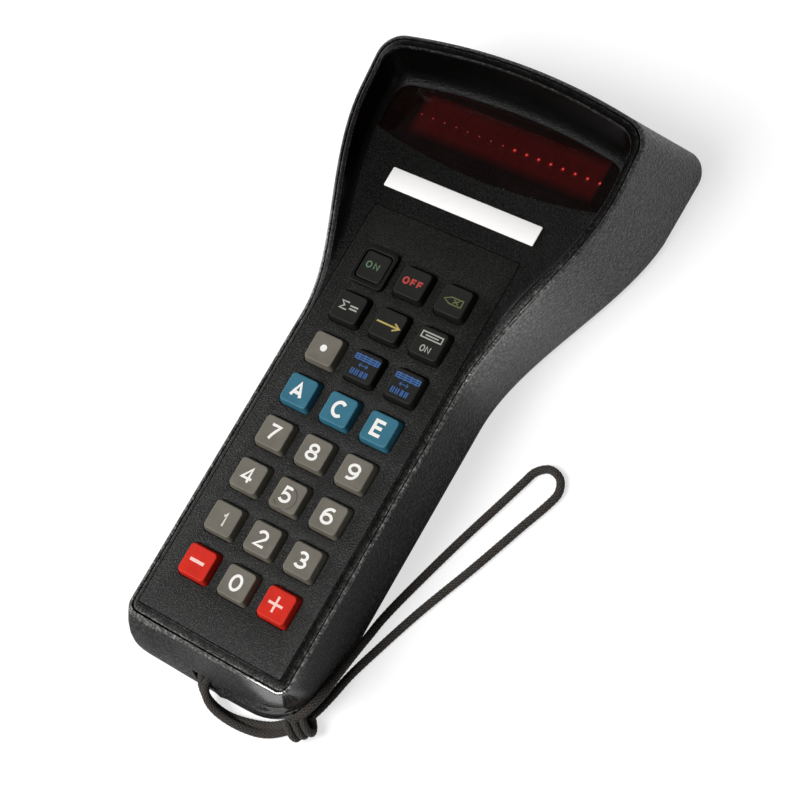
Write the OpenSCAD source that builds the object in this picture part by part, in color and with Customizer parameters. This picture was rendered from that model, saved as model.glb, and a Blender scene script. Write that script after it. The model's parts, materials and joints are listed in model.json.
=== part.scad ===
// Hand-held bar code data terminal: a T-shaped black shell with a hooded LED display,
// a 24-key pad, a battery compartment in the handle and a cord wrist strap.
// It lies on its back: X to the right, Y towards the display, Z up out of the keypad.
// The origin is at the middle of the back, on the surface that it lies on. Millimetres.

/* [Handle] */
// Width of the handle across the top edge of the shell
handle_w = 62; // [61.5:0.5:66]
// Width of the handle at the back
handle_base_w = 61.8; // [61:0.2:66]
// Height of the keypad face above the back
face_z = 30.5; // [30:0.1:31]
// Distance from the origin to the foot end, at the top edge
foot_top = 103.9; // [103:0.1:105]
// Distance from the origin to the foot end, at the back
foot_base = 111.8; // [110:0.1:114]

/* [Head] */
// Width of the head across the top edge of the shell
head_w = 98.2; // [96:0.2:102]
// Width of the head at the back
head_base_w = 108.6; // [104:0.2:112]
// Distance from the origin to the head end, at the top edge
head_top = 101.05; // [100.5:0.05:102]
// Distance from the origin to the head end, at the back
head_base = 112.3; // [110:0.1:114]
// Slope of the hood's rim, rise for each millimetre along the head
rim_slope = 0.172; // [0.15:0.001:0.18]
// Radius of the shallow bow of the head end at the top edge, seen from above
end_bow_r = 220; // [200:5:260]
// Radius of the bow of the head end at the back
base_bow_r = 450; // [400:10:500]

/* [Corners] */
// Radius of the foot corners at the top edge
foot_corner_r = 4; // [3:0.5:5]
// Radius of the right foot corner at the back, where the wrist cord lies against it
right_base_corner_r = 20; // [16:0.5:22]
// Radius of the left foot corner at the back
left_base_corner_r = 4.5; // [4:0.5:8]
// Radius of the head corners at the top edge
head_corner_r = 9; // [8:0.5:10]

/* [Walls] */
// Wall thickness of the rear shell
wall = 2.4; // [2:0.1:2.6]
// Width of the groove between the two shells
seam = 0.3; // [0.2:0.05:0.4]
// Visible thickness of the rear shell's top edge
edge_w = 1.1; // [1:0.1:1.2]
// Thickness of the front shell's face
face_t = 2.6; // [2.4:0.1:2.8]

/* [Keys] */
// Distance between key centres
pitch = 15.24; // [15:0.01:15.5]
// Width of a keycap at its foot
cap_w = 11.2; // [10.8:0.1:11.6]
// Depth of a keycap at its foot
cap_d = 10.8; // [10.4:0.1:11.2]
// Height that a keycap stands above the face
cap_h = 2.5; // [2:0.1:2.8]
// Clearance round a keycap
key_gap = 0.3; // [0.25:0.05:0.4]
// Travel of a key
travel = 1.2; // [0.8:0.1:1.2]

/* [Display] */
// Pitch of the LED characters
char_pitch = 4.45; // [4.4:0.05:4.5]
// Height of an LED module, along the terminal
module_d = 15.2; // [14:0.1:16]

/* [Battery] */
// Radius of a battery cell
cell_r = 7.2; // [7:0.05:7.25]
// Length of a battery cell without its button
cell_len = 49.2; // [48:0.1:50]
// Distance between battery cells
cell_pitch = 15; // [14.8:0.1:15]

/* [Strap] */
// Diameter of the wrist cord
cord_d = 2.8; // [2.6:0.1:2.9]

/* [Hidden] */
$fn = 32;
overlap = 0.01;

// Places along the terminal
neck_start = 2;
neck_len = 75;
base_neck_start = -1;
base_neck_len = 84;
rim_start = 14.4;
rim_soft = 10;
rear_rim_z = face_z - 1.3;
floor_z = face_z - face_t;
inner_z = 2.6;
base_r = 3;
skirt_h = 3.6;

// Keypad
panel_t = 0.8;
panel_half_w = handle_w / 2 - 3.6;
panel_foot_y = -99.7;
panel_head_y = 45.4;
row_0_y = 25.68;
flange_w = 13.4;
flange_d = 13;
flange_t = 1.1;
flange_z = floor_z - 0.3 - flange_t;
collar_w = 12.4;
collar_d = 13.2;
collar_h = 1.7;
on_cap_w = 9.6;
on_cap_d = 9.8;
on_cap_h = 1.5;

// Boards
mat_z = 22.6;
board_t = 1.6;
post_x = panel_half_w - 3.1;
post_ys = [-84, -30, 24];
function display_post(side) = [side * 39.9, 82];
module_count = 4;
module_top_z = 23.4;
module_mid_y = 81.9;
display_board_z = 15.4;
logic_z = 8;

// Screws that hold the shells together: [x, y]
shell_screws = [[-22.5, -96.5], [22.5, -96.5], [-33, 48], [33, 48]];
boss_top_z = 14;

// Battery compartment
contact_t = 0.6;
button_h = 1.2;
spring_room = 4.4;
bay_half_w = cell_pitch + cell_r + 1;
bay_y1 = -28.5;
cell_y0 = bay_y1 - contact_t - button_h - cell_len;
bay_y0 = cell_y0 - spring_room - contact_t;
bay_top_z = 18;
cell_z = bay_top_z - cell_r - 0.4;
cell_xs = [for (i = [-1:1]) i * cell_pitch];
door_half_w = bay_half_w - 0.6;
door_t = 2;
door_z = 0.3;
hinge_y = bay_y0 - 3.9;
hinge_z = 2;
hinge_r = 1.7;
hinge_pin_r = 0.8;
hinge_gap = 0.55;
knuckle_half = 11;
ear_w = 4;
// The door's plate starts this far from its hinge, so that it swings clear of the opening
door_arm = 4;

// Port in the head end
port_z = 14;
port_floor_y = 99;
port_half_w = 17;
port_half_h = 8;
jack_spacing = 24.99;
jack_hole_r = 1.42;

// Wrist strap
notch_x = -6;
notch_w = 6.6;
notch_z0 = 5.4;
notch_z1 = 11.6;
anchor_y = -105.4;
anchor_r = 1.4;
knot_at = [28.9, -108.1, 4.3];

// Keys: [node, column, row, colour]
KEYS = [
    ["key_on", -1, 0, "black"], ["key_off", 0, 0, "black"], ["key_clear", 1, 0, "black"],
    ["key_totals", -1, 1, "black"], ["key_send", 0, 1, "black"], ["key_display", 1, 1, "black"],
    ["key_dot", -1, 2, "grey"], ["key_memory", 0, 2, "black"], ["key_scan", 1, 2, "black"],
    ["key_a", -1, 3, "blue"], ["key_c", 0, 3, "blue"], ["key_e", 1, 3, "blue"],
    ["key_7", -1, 4, "grey"], ["key_8", 0, 4, "grey"], ["key_9", 1, 4, "grey"],
    ["key_4", -1, 5, "grey"], ["key_5", 0, 5, "grey"], ["key_6", 1, 5, "grey"],
    ["key_1", -1, 6, "grey"], ["key_2", 0, 6, "grey"], ["key_3", 1, 6, "grey"],
    ["key_minus", -1, 7, "red"], ["key_0", 0, 7, "grey"], ["key_plus", 1, 7, "red"]
];

// ---- Helpers ----------------------------------------------------------------

function mix(a, b, t) = a + (b - a) * t;
function clamp(t, low = 0, high = 1) = min(high, max(low, t));
function ease(t) = let (c = clamp(t)) c * c * (3 - 2 * c);

// Key centre on the face
function key_xy(k) = [k[1] * pitch, row_0_y - k[2] * pitch];

// Rectangle with round corners, centred
module round_rect(w, d, r) {
    square([w - 2 * r, d], center = true);
    square([w, d - 2 * r], center = true);
    for (sx = [-1, 1], sy = [-1, 1])
        translate([sx * (w / 2 - r), sy * (d / 2 - r)])
            circle(r = r);
}

// Box given by its two corners
module box(low, high) {
    translate(low)
        cube(high - low);
}

// Cylinder that stands on z0 at [x, y]
module post(xy, z0, z1, r) {
    translate([xy[0], xy[1], z0])
        cylinder(h = z1 - z0, r = r);
}

// Triangles of a flat lid over a ring of n points, in strips between its two halves
function lid(n) = concat(
    [[0, 1, n - 1]],
    [for (i = [1:n / 2 - 1]) [i, i + 1, n - i]],
    [for (i = [1:n / 2 - 2]) [i + 1, n - i - 1, n - i]]);

// Solid between closed rings of points, all with the same even count, the first and last flat
module loft(rings) {
    n = len(rings[0]);
    top = (len(rings) - 1) * n;
    sides = [for (r = [0:len(rings) - 2], i = [0:n - 1])
        let (j = (i + 1) % n, a = r * n, b = a + n)
            each [[b + i, b + j, a + j], [b + i, a + j, a + i]]];
    last = [for (t = lid(n)) [top + t[2], top + t[1], top + t[0]]];
    polyhedron(points = [for (ring = rings) each ring], faces = concat(lid(n), sides, last));
}

// ---- Outline of the shell -----------------------------------------------------

// Half width at y, on the top edge (k = 0) or at the back (k = 1)
function half_w(y, k) = k < 0.5
    ? mix(handle_w, head_w, ease((y - neck_start) / neck_len)) / 2
    : mix(handle_base_w, head_base_w, ease((y - base_neck_start) / base_neck_len)) / 2;

// Height of the rear shell's top edge at y: level along the handle, then rising
function rim_z(y) = let (t = min(y, head_top) - rim_start)
    rear_rim_z + (t < -rim_soft ? 0
        : t < rim_soft ? rim_slope * pow(t + rim_soft, 2) / (4 * rim_soft)
        : rim_slope * t);

// How far the foot end bows out at its middle
foot_bow = 0.2;

// Places where the outline is sampled along its sides
stations = concat([-80, -60, -40, -20], [for (i = [0:21]) -6 + 4 * i]);

// Right half of the outline, from the foot's middle to the head's middle. ins holds the
// distances inside the edge: [handle side, head side, foot, head end]
function half_outline(k, ins, foot_r, head_r) =
    let (yf = -mix(foot_top, foot_base, k) + ins[2],
         yh = mix(head_top, head_base, k) - ins[3],
         bow = mix(end_bow_r, base_bow_r, k) - ins[3],
         wf = half_w(yf + foot_r, k) - ins[0],
         wh = half_w(head_top, k) - ins[1],
         yc = yh - bow + sqrt(pow(bow - head_r, 2) - pow(wh - head_r, 2)),
         turn = atan2(yc - yh + bow, wh - head_r))
    concat(
        [for (s = [0, 0.35, 0.7]) [s * (wf - foot_r), yf - foot_bow * (1 - s * s)]],
        [for (j = [0:5]) [wf - foot_r + foot_r * sin(18 * j), yf + foot_r - foot_r * cos(18 * j)]],
        [for (y = stations) [half_w(y, k) - mix(ins[0], ins[1], ease((y - 11) / 26)), y]],
        [for (j = [0:6]) [wh - head_r + head_r * cos(turn * j / 6), yc + head_r * sin(turn * j / 6)]],
        [for (j = [1:5]) let (a = mix(turn, 90, j / 5)) [bow * cos(a), yh - bow + bow * sin(a)]]);

// The whole outline, anticlockwise. foot_rs holds the radii of the right and left foot corners
function outline(k, ins, foot_rs, head_r) =
    let (right = half_outline(k, ins, foot_rs[0], head_r),
         left = half_outline(k, ins, foot_rs[1], head_r), n = len(left))
    concat(right, [for (i = [n - 2:-1:1]) [-left[i][0], left[i][1]]]);

// Same distance inside the edge all round
function even(d) = [d, d, d, d];
function both(r) = [r, r];
function top_outline(d) = outline(0, even(d), both(max(foot_corner_r - d, 0.6)), head_corner_r - d / 2);
function base_outline(d) = outline(1, even(d),
    [right_base_corner_r - d, max(left_base_corner_r - d, 1)], head_corner_r - d / 2);

edge_line = top_outline(0);
rim_line = [for (p = edge_line) rim_z(p[1])];

// Share of a point in the left foot corner, where the wall stands fuller under the edge
function fullness(p) = p[1] < 0 ? clamp((-8 - p[0]) / 14) : 0;

// Ring on the wall between the top edge and the back, d inside it, at the heights z
function wall_ring(d, z) = let (a = top_outline(d), b = base_outline(d))
    [for (i = [0:len(a) - 1])
        let (k = clamp((rim_line[i] - z[i]) / (rim_line[i] - base_r)),
             k_foot = mix(k, 1 - pow(1 - k, 4), fullness(edge_line[i])))
            [mix(a[i][0], b[i][0], k), mix(a[i][1], b[i][1], k_foot), z[i]]];

// The same height all round, or a drop below the rim
function level(z) = [for (r = rim_line) z];
function below_rim(drop) = [for (r = rim_line) r - drop];

// Share of a point in the raised lip that runs from the strap notch round the right corner
function lip_share(p) = p[0] > -3 && p[1] < -92 ? clamp((31 - p[0]) / 4) : 0;
function lip_z(p) = mix(5, 11, clamp(p[0] / 28));
function lip_ring(dz, out) =
    let (z = [for (p = edge_line) lip_z(p) + dz], a = wall_ring(0, z), b = wall_ring(1, z))
    [for (i = [0:len(a) - 1]) let (s = lip_share(edge_line[i]) * -out)
        [mix(a[i][0], b[i][0], s), mix(a[i][1], b[i][1], s), z[i]]];

// ---- Shells -------------------------------------------------------------------

module rear_shell() {
    loft([
        wall_ring(base_r, level(0)),
        wall_ring(0.88, level(0.88)),
        wall_ring(0, level(base_r)),
        lip_ring(-1, 0.9),
        lip_ring(0.2, 0.7),
        lip_ring(1.2, -1.1),
        lip_ring(2.6, -0.7),
        lip_ring(4.4, 0),
        wall_ring(0, level(19)),
        wall_ring(0, level(23)),
        wall_ring(0, level(26)),
        wall_ring(0, below_rim(1)),
        wall_ring(0.3, below_rim(0.3)),
        wall_ring(edge_w - 0.2, below_rim(0)),
        wall_ring(edge_w, below_rim(0.1)),
        wall_ring(edge_w, below_rim(skirt_h + 0.1)),
        wall_ring(wall, below_rim(skirt_h + 0.3)),
        wall_ring(wall, level(inner_z))
    ]);
}

// Where the rear screws go in, seen from the back
module screw_ways() {
    for (s = shell_screws) {
        post(s, -1, 1.9, 3.1);
        post(s, 1.5, boss_top_z + 1, 1.7);
    }
}

module rear_housing() color([0.05, 0.05, 0.055]) {
    difference() {
        union() {
            rear_shell();
            for (s = shell_screws)
                post(s, 1.5, boss_top_z, 3.8);
            // Battery compartment
            box([-bay_half_w - 1.4, bay_y0 - 1.4, 1.5], [bay_half_w + 1.4, bay_y1 + 1.4, bay_top_z + 1.2]);
            // Housing round the door's hinge
            box([-knuckle_half - ear_w - 0.2, hinge_y - hinge_r - 1.8, 1.5],
                [knuckle_half + ear_w + 0.2, bay_y0 - 1, hinge_z + hinge_r + 1.8]);
            // Pocket for the port
            box([-port_half_w - 2, port_floor_y - 2, port_z - port_half_h - 2],
                [port_half_w + 2, port_floor_y + 7, port_z + port_half_h + 2]);
            // Blocks that carry the strap's anchor pin
            for (sx = [-1, 1])
                box([notch_x + sx * 5.4 - 1.5, anchor_y - 2.6, 1.5],
                    [notch_x + sx * 5.4 + 1.5, anchor_y + 2.6, 12]);
        }
        screw_ways();
        box([-bay_half_w, bay_y0, door_z + door_t + 0.2], [bay_half_w, bay_y1, bay_top_z]);
        // Door opening, with its hinge and its finger hollow
        box([-door_half_w - 0.4, hinge_y + door_arm - 0.6, -1],
            [door_half_w + 0.4, bay_y1 - 1.2, door_z + door_t + 0.3]);
        box([-knuckle_half - 0.2, hinge_y - hinge_r - hinge_gap, -1],
            [knuckle_half + 0.2, bay_y0 + 0.1, hinge_z + hinge_r + hinge_gap]);
        box([-6, bay_y1 - 2, -1], [6, bay_y1 + 3.2, 1.2]);
        translate([-knuckle_half - ear_w, hinge_y, hinge_z])
            rotate([0, 90, 0])
                cylinder(h = 2 * (knuckle_half + ear_w), r = hinge_pin_r);
        // Port pocket and the way through for its socket
        box([-port_half_w, port_floor_y, port_z - port_half_h],
            [port_half_w, port_floor_y + 20, port_z + port_half_h]);
        box([-9.8, port_floor_y - 5, port_z - 5.6], [9.8, port_floor_y + 1, port_z + 5.6]);
        for (sx = [-1, 1])
            translate([sx * jack_spacing / 2, port_floor_y + 1, port_z])
                rotate([90, 0, 0])
                    cylinder(h = 5, r = 1.7);
        // Strap notch and the anchor pin's hole
        box([notch_x - notch_w / 2, -foot_base - 3, notch_z0],
            [notch_x + notch_w / 2, anchor_y - 1, notch_z1]);
        translate([notch_x - 6, anchor_y, 8.5])
            rotate([0, 90, 0])
                cylinder(h = 12, r = anchor_r);
    }
}

// Ring on the front shell at the heights z
function front_ring(ins, z, foot_r, head_r) = let (a = outline(0, ins, both(foot_r), head_r))
    [for (i = [0:len(a) - 1]) [a[i][0], a[i][1], z[i]]];

groove_in = edge_w + seam;
band = [3.3, 3.3, 4, 3.9];
floor_in = [3.6, 7.1, 4.3, 10.75];
crest_line = [for (r = rim_line) max(face_z, r + 0.2)];

// A ring on the hollow slope between the rim's band and the face
function cove_ring(run, rise) = front_ring(mix(band, floor_in, run),
    [for (c = crest_line) mix(face_z, c, rise)], 1.2, mix(7.2, 5.4, run));

module front_shell() {
    loft([
        front_ring([2.9, 4.6, 3.4, 8.2], level(floor_z), 1.4, 6),
        front_ring(even(groove_in + 1.1), below_rim(skirt_h), 1.8, 8),
        front_ring(even(groove_in), below_rim(skirt_h), 2.6, 8.4),
        front_ring(even(groove_in), below_rim(0.5), 2.6, 8.4),
        front_ring(even(groove_in + 0.4), below_rim(0.05), 2.4, 8.2),
        front_ring(mix(band, even(groove_in + 0.4), 0.2), [for (i = [0:len(rim_line) - 1])
            mix(crest_line[i], rim_line[i], 0.15)], 1.4, 7.4),
        cove_ring(0, 1),
        cove_ring(0.1, 0.8),
        cove_ring(0.34, 0.38),
        cove_ring(0.66, 0.1),
        cove_ring(1, 0)
    ]);
}

// Area of the lens, its edge d inside the hood's foot and its lower edge a shallow arc
module lens_area(d, lower_d) {
    intersection() {
        polygon(outline(0, floor_in + even(d), both(1.2), 5.4 - d / 2));
        translate([0, 257.9])
            circle(r = 192.6 - lower_d, $fn = 180);
    }
}

// Window below the lens
module window_area() {
    intersection() {
        polygon(outline(0, floor_in + even(2.4), both(1.2), 3));
        translate([-36.8, 71.8])
            square([73.6, 30]);
    }
}

module key_hole(k, gap) {
    w = k[0] == "key_on" ? on_cap_w : cap_w;
    d = k[0] == "key_on" ? on_cap_d : cap_d;
    translate(key_xy(k))
        round_rect(w + 2 * gap, d + 2 * gap, 1.4 + gap);
}

module front_housing() color([0.06, 0.06, 0.065]) {
    difference() {
        union() {
            front_shell();
            for (s = shell_screws)
                post(s, boss_top_z, floor_z + 0.5, 3.4);
            for (y = post_ys, sx = [-1, 1])
                post([sx * post_x, y], mat_z, floor_z + 0.5, 1.9);
            for (sx = [-1, 1])
                post(display_post(sx), display_board_z + board_t, floor_z + 0.5, 2);
        }
        // Recess for the keypad panel and the ways for the keys
        box([-panel_half_w - 0.12, panel_foot_y - 0.12, face_z - panel_t],
            [panel_half_w + 0.12, panel_head_y + 0.12, face_z + 1]);
        translate([0, 0, floor_z - 1])
            linear_extrude(face_t + 2)
                for (k = KEYS)
                    key_hole(k, key_gap + 0.1);
        // Seat of the lens, the window under it and the seat of the label
        translate([0, 0, face_z - 1.4])
            linear_extrude(3)
                lens_area(0, 0);
        translate([0, 0, floor_z - 1])
            linear_extrude(face_t + 2)
                window_area();
        for (s = shell_screws)
            post(s, boss_top_z - 1, boss_top_z + 8, 2.1);
        for (y = post_ys, sx = [-1, 1])
            post([sx * post_x, y], mat_z - 1, mat_z + 4, 0.8);
        for (sx = [-1, 1])
            post(display_post(sx), display_board_z, display_board_z + board_t + 4, 0.8);
    }
}

module keypad_panel() color([0.09, 0.09, 0.09]) {
    translate([0, 0, face_z - panel_t])
        linear_extrude(panel_t)
            difference() {
                translate([0, (panel_head_y + panel_foot_y) / 2])
                    round_rect(2 * panel_half_w, panel_head_y - panel_foot_y, 0.8);
                for (k = KEYS)
                    key_hole(k, key_gap);
            }
    // Guard round the ON key
    translate([key_xy(KEYS[0])[0], key_xy(KEYS[0])[1], face_z - overlap])
        linear_extrude(collar_h)
            difference() {
                round_rect(collar_w, collar_d, 1.6);
                round_rect(on_cap_w + 2 * key_gap, on_cap_d + 2 * key_gap, 1.4 + key_gap);
            }
}

module display_lens() color([0.25, 0.01, 0.02, 0.7]) {
    translate([0, 0, face_z - 1.4])
        linear_extrude(1.4)
            lens_area(0.12, 0.12);
}

module label_plate() color([0.93, 0.93, 0.92]) {
    translate([0, 55.45, face_z])
        linear_extrude(0.4)
            round_rect(56.2, 6.9, 0.3);
}

// ---- Keys ---------------------------------------------------------------------

// Rounded rectangle as a ring of points
function cap_ring(w, d, r, z) = [for (c = [[1, 1, 0], [-1, 1, 90], [-1, -1, 180], [1, -1, 270]], j = [0:4])
    let (a = c[2] + 22.5 * j) [c[0] * (w / 2 - r) + r * cos(a), c[1] * (d / 2 - r) + r * sin(a), z]];

module keycap(k, tint) color(tint) {
    guarded = k[0] == "key_on";
    w = guarded ? on_cap_w : cap_w;
    d = guarded ? on_cap_d : cap_d;
    h = guarded ? on_cap_h : cap_h;
    lean = guarded ? 0.15 : 0.6;
    translate([key_xy(k)[0], key_xy(k)[1], 0]) {
        loft([
            cap_ring(w, d, 1.4, face_z - 0.4),
            cap_ring(w - 0.1, d - 0.1, 1.4, face_z + 0.3),
            cap_ring(w - 2 * lean, d - 2 * lean, 1.3, face_z + h - 0.35),
            cap_ring(w - 2 * lean - 0.7, d - 2 * lean - 0.7, 1, face_z + h)
        ]);
        translate([0, 0, flange_z + flange_t - overlap])
            linear_extrude(face_z - 0.4 - flange_z - flange_t + 2 * overlap)
                round_rect(w, d, 1.4);
        translate([0, 0, flange_z])
            linear_extrude(flange_t)
                round_rect(flange_w, flange_d, 1);
    }
}

// Keycap colours
function tint_of(name) = name == "black" ? [0.07, 0.07, 0.07]
    : name == "grey" ? [0.42, 0.40, 0.37]
    : name == "blue" ? [0.02, 0.36, 0.50]
    : [0.75, 0.08, 0.06];

// Rubber mat with a collapsed dome under each key
module key_mat() color([0.25, 0.25, 0.26]) {
    translate([0, row_0_y - 3.5 * pitch, mat_z])
        linear_extrude(0.8)
            square([44, 8 * pitch], center = true);
    for (k = KEYS)
        translate([key_xy(k)[0], key_xy(k)[1], mat_z + 0.7])
            cylinder(h = flange_z - travel - 0.2 - mat_z - 0.7, r1 = 4, r2 = 3);
}

// ---- Boards and display ---------------------------------------------------------

module keypad_board() color([0.05, 0.3, 0.12]) {
    difference() {
        box([-26.4, -91, mat_z - board_t], [26.4, 37, mat_z]);
        for (y = post_ys, sx = [-1, 1])
            post([sx * post_x, y], mat_z - board_t - 1, mat_z + 1, 1);
    }
}

// Pan-head screw that points up, its head's underside at z
module small_screw(xy, z, length) {
    post(xy, z - 1, z, 1.7);
    post(xy, z - overlap, z + length, 0.78);
}

module board_screws() color([0.7, 0.7, 0.72]) {
    for (y = post_ys, sx = [-1, 1])
        small_screw([sx * post_x, y], mat_z - board_t, 4.6);
    for (sx = [-1, 1])
        small_screw(display_post(sx), display_board_z, 4.6);
}

module display_board() color([0.05, 0.3, 0.12]) {
    difference() {
        box([-42.6, 72, display_board_z], [42.6, 90, display_board_z + board_t]);
        for (sx = [-1, 1])
            post(display_post(sx), display_board_z - 1, display_board_z + board_t + 1, 1);
    }
}

// LED modules side by side, each with a row of four raised characters
module display_modules() color([0.45, 0.02, 0.03]) {
    module_w = 4 * char_pitch;
    for (m = [0:module_count - 1])
        translate([(m - (module_count - 1) / 2) * module_w, module_mid_y, 0]) {
            box([-module_w / 2 + 0.1, -module_d / 2, display_board_z + board_t],
                [module_w / 2 - 0.1, module_d / 2, module_top_z]);
            for (c = [0:3])
                translate([(c - 1.5) * char_pitch, 0.4, module_top_z - overlap])
                    linear_extrude(0.3)
                        square([2.6, 4.6], center = true);
        }
}

// Black frame that keeps stray light off the modules
module display_shade() color([0.02, 0.02, 0.02]) {
    difference() {
        box([-37.6, 71, 19.6], [37.6, 91.2, floor_z]);
        box([-36.2, 72.2, 19], [36.2, 90, floor_z + 1]);
    }
}

module logic_board() color([0.05, 0.3, 0.12]) {
    box([-28, 22, logic_z], [28, 82, logic_z + board_t]);
    for (sx = [-1, 1], y = [28, 76])
        post([sx * 23, y], inner_z, logic_z + overlap, 2.5);
}

// Chips in two rows, with a tall memory carrier
module logic_chips() color([0.04, 0.04, 0.04]) {
    for (y = [30, 44, 58], sx = [-1, 1])
        box([sx * 13 - 9, y - 4, logic_z + board_t], [sx * 13 + 9, y + 4, logic_z + board_t + 3.6]);
    box([-20, 67, logic_z + board_t], [20, 76, logic_z + board_t + 4]);
}

// Flat cable that drops from one board to another: [y, z] of its ends
module ribbon(half_w, a, b) {
    t = 0.5;
    mid_y = (a[0] + b[0]) / 2;
    rotate([90, 0, 90])
        translate([0, 0, -half_w])
            linear_extrude(2 * half_w)
                polygon([a, [mid_y + t, a[1]], [mid_y + t, b[1] + t], [b[0], b[1] + t],
                         [b[0], b[1]], [mid_y, b[1]], [mid_y, a[1] - t], [a[0], a[1] - t]]);
}

module keypad_ribbon() color([0.6, 0.6, 0.58]) {
    ribbon(12, [8, mat_z - board_t], [25.5, logic_z + board_t]);
}

module display_ribbon() color([0.6, 0.6, 0.58]) {
    mirror([0, 1, 0])
        ribbon(12, [-80, display_board_z], [-77, logic_z + board_t]);
}

module buzzer() color([0.03, 0.03, 0.03]) {
    translate([-36, 90, inner_z])
        difference() {
            cylinder(h = 6.5, r = 7);
            translate([0, 0, 5])
                cylinder(h = 2, r = 1.2);
        }
}

// ---- Battery --------------------------------------------------------------------

module battery_cells() color([0.55, 0.42, 0.12]) {
    for (x = cell_xs)
        translate([x, cell_y0, cell_z])
            rotate([-90, 0, 0]) {
                cylinder(h = cell_len, r = cell_r);
                cylinder(h = cell_len + button_h, r = 2.7);
            }
}

spring_wire = 0.7;

// Coil spring as a swept square wire
module coil(r, wire, turns, height) {
    steps = 12 * turns;
    rings = [for (i = [0:steps])
        let (a = 30 * i, z = height * i / steps, w = wire / 2)
            [for (c = [[-w, -w], [w, -w], [w, w], [-w, w]])
                [(r + c[0]) * cos(a), (r + c[0]) * sin(a), z + c[1]]]];
    loft(rings);
}

module battery_springs() color([0.75, 0.75, 0.77]) {
    for (x = cell_xs)
        translate([x, bay_y0 + contact_t + spring_wire / 2, cell_z])
            rotate([-90, 0, 0])
                coil(4, spring_wire, 3, spring_room - spring_wire);
}

module battery_contacts() color([0.8, 0.75, 0.5]) {
    box([-bay_half_w + 0.2, bay_y0, cell_z - 6], [bay_half_w - 0.2, bay_y0 + contact_t, cell_z + 6]);
    for (x = cell_xs)
        box([x - 4.5, bay_y1 - contact_t, cell_z - 6], [x + 4.5, bay_y1, cell_z + 6]);
}

module battery_door() color([0.05, 0.05, 0.055]) {
    difference() {
        union() {
            box([-door_half_w, hinge_y + door_arm, door_z], [door_half_w, bay_y1 - 1.6, door_z + door_t]);
            box([-knuckle_half, hinge_y, door_z], [knuckle_half, hinge_y + door_arm + 1, door_z + door_t]);
            translate([-knuckle_half, hinge_y, hinge_z])
                rotate([0, 90, 0])
                    cylinder(h = 2 * knuckle_half, r = hinge_r);
            // Ribs that hold the cells
            for (x = [-0.5 * cell_pitch, 0.5 * cell_pitch])
                box([x - 0.6, bay_y0 + 8, door_z + door_t - overlap],
                    [x + 0.6, bay_y1 - 8, door_z + door_t + 2]);
            // Snap tongue
            box([-5, bay_y1 - 2.6, door_z + 0.4], [5, bay_y1 - 1.4, door_z + door_t + 0.6]);
        }
        translate([-knuckle_half - 1, hinge_y, hinge_z])
            rotate([0, 90, 0])
                cylinder(h = 2 * knuckle_half + 2, r = hinge_pin_r + 0.06);
    }
}

module door_hinge_pin() color([0.7, 0.7, 0.72]) {
    translate([-knuckle_half - ear_w, hinge_y, hinge_z])
        rotate([0, 90, 0])
            cylinder(h = 2 * (knuckle_half + ear_w), r = hinge_pin_r);
}

// ---- Fasteners, port and strap ------------------------------------------------------

module shell_screws() color([0.7, 0.7, 0.72]) {
    for (s = shell_screws)
        difference() {
            union() {
                post(s, 0.2, 1.9, 2.8);
                post(s, 1.8, boss_top_z + 6, 1.5);
            }
            for (a = [0, 90])
                translate([s[0], s[1], 0.7])
                    rotate(a)
                        cube([3.4, 0.7, 1.4], center = true);
        }
}

module threaded_inserts() color([0.78, 0.6, 0.25]) {
    for (s = shell_screws)
        difference() {
            post(s, boss_top_z + 0.1, boss_top_z + 5.6, 2.1);
            post(s, boss_top_z - 1, boss_top_z + 7, 1.52);
        }
}

// Female D connector: flange, shell and the body behind the wall
module port_socket() color([0.75, 0.75, 0.76]) {
    translate([0, port_floor_y, port_z])
        rotate([-90, 0, 0])
            difference() {
                union() {
                    linear_extrude(1)
                        round_rect(30.8, 12.5, 1.5);
                    linear_extrude(6)
                        polygon([[-8.3, -3.9], [8.3, -3.9], [7.5, 3.9], [-7.5, 3.9]]);
                    translate([0, 0, -7.5])
                        linear_extrude(8)
                            round_rect(19, 10.7, 1);
                }
                for (sx = [-1, 1])
                    translate([sx * jack_spacing / 2, 0, -1])
                        cylinder(h = 3, r = 1.7);
                for (i = [0:4])
                    translate([(i - 2) * 2.76, -1.42, 2])
                        cylinder(h = 5, r = 0.5);
                for (i = [0:3])
                    translate([(i - 1.5) * 2.76, 1.42, 2])
                        cylinder(h = 5, r = 0.5);
            }
}

module port_jackscrews() color([0.7, 0.7, 0.72]) {
    for (sx = [-1, 1])
        translate([sx * jack_spacing / 2, port_floor_y + 1, port_z])
            rotate([-90, 0, 0])
                difference() {
                    union() {
                        cylinder(h = 5, r = 2.75, $fn = 6);
                        translate([0, 0, -5])
                            cylinder(h = 5.5, r = 1.68);
                    }
                    translate([0, 0, -3])
                        cylinder(h = 9, r = jack_hole_r);
                }
}

module strap_anchor() color([0.7, 0.7, 0.72]) {
    translate([notch_x - 6, anchor_y, 8.5])
        rotate([0, 90, 0])
            cylinder(h = 12, r = anchor_r);
}

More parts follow.
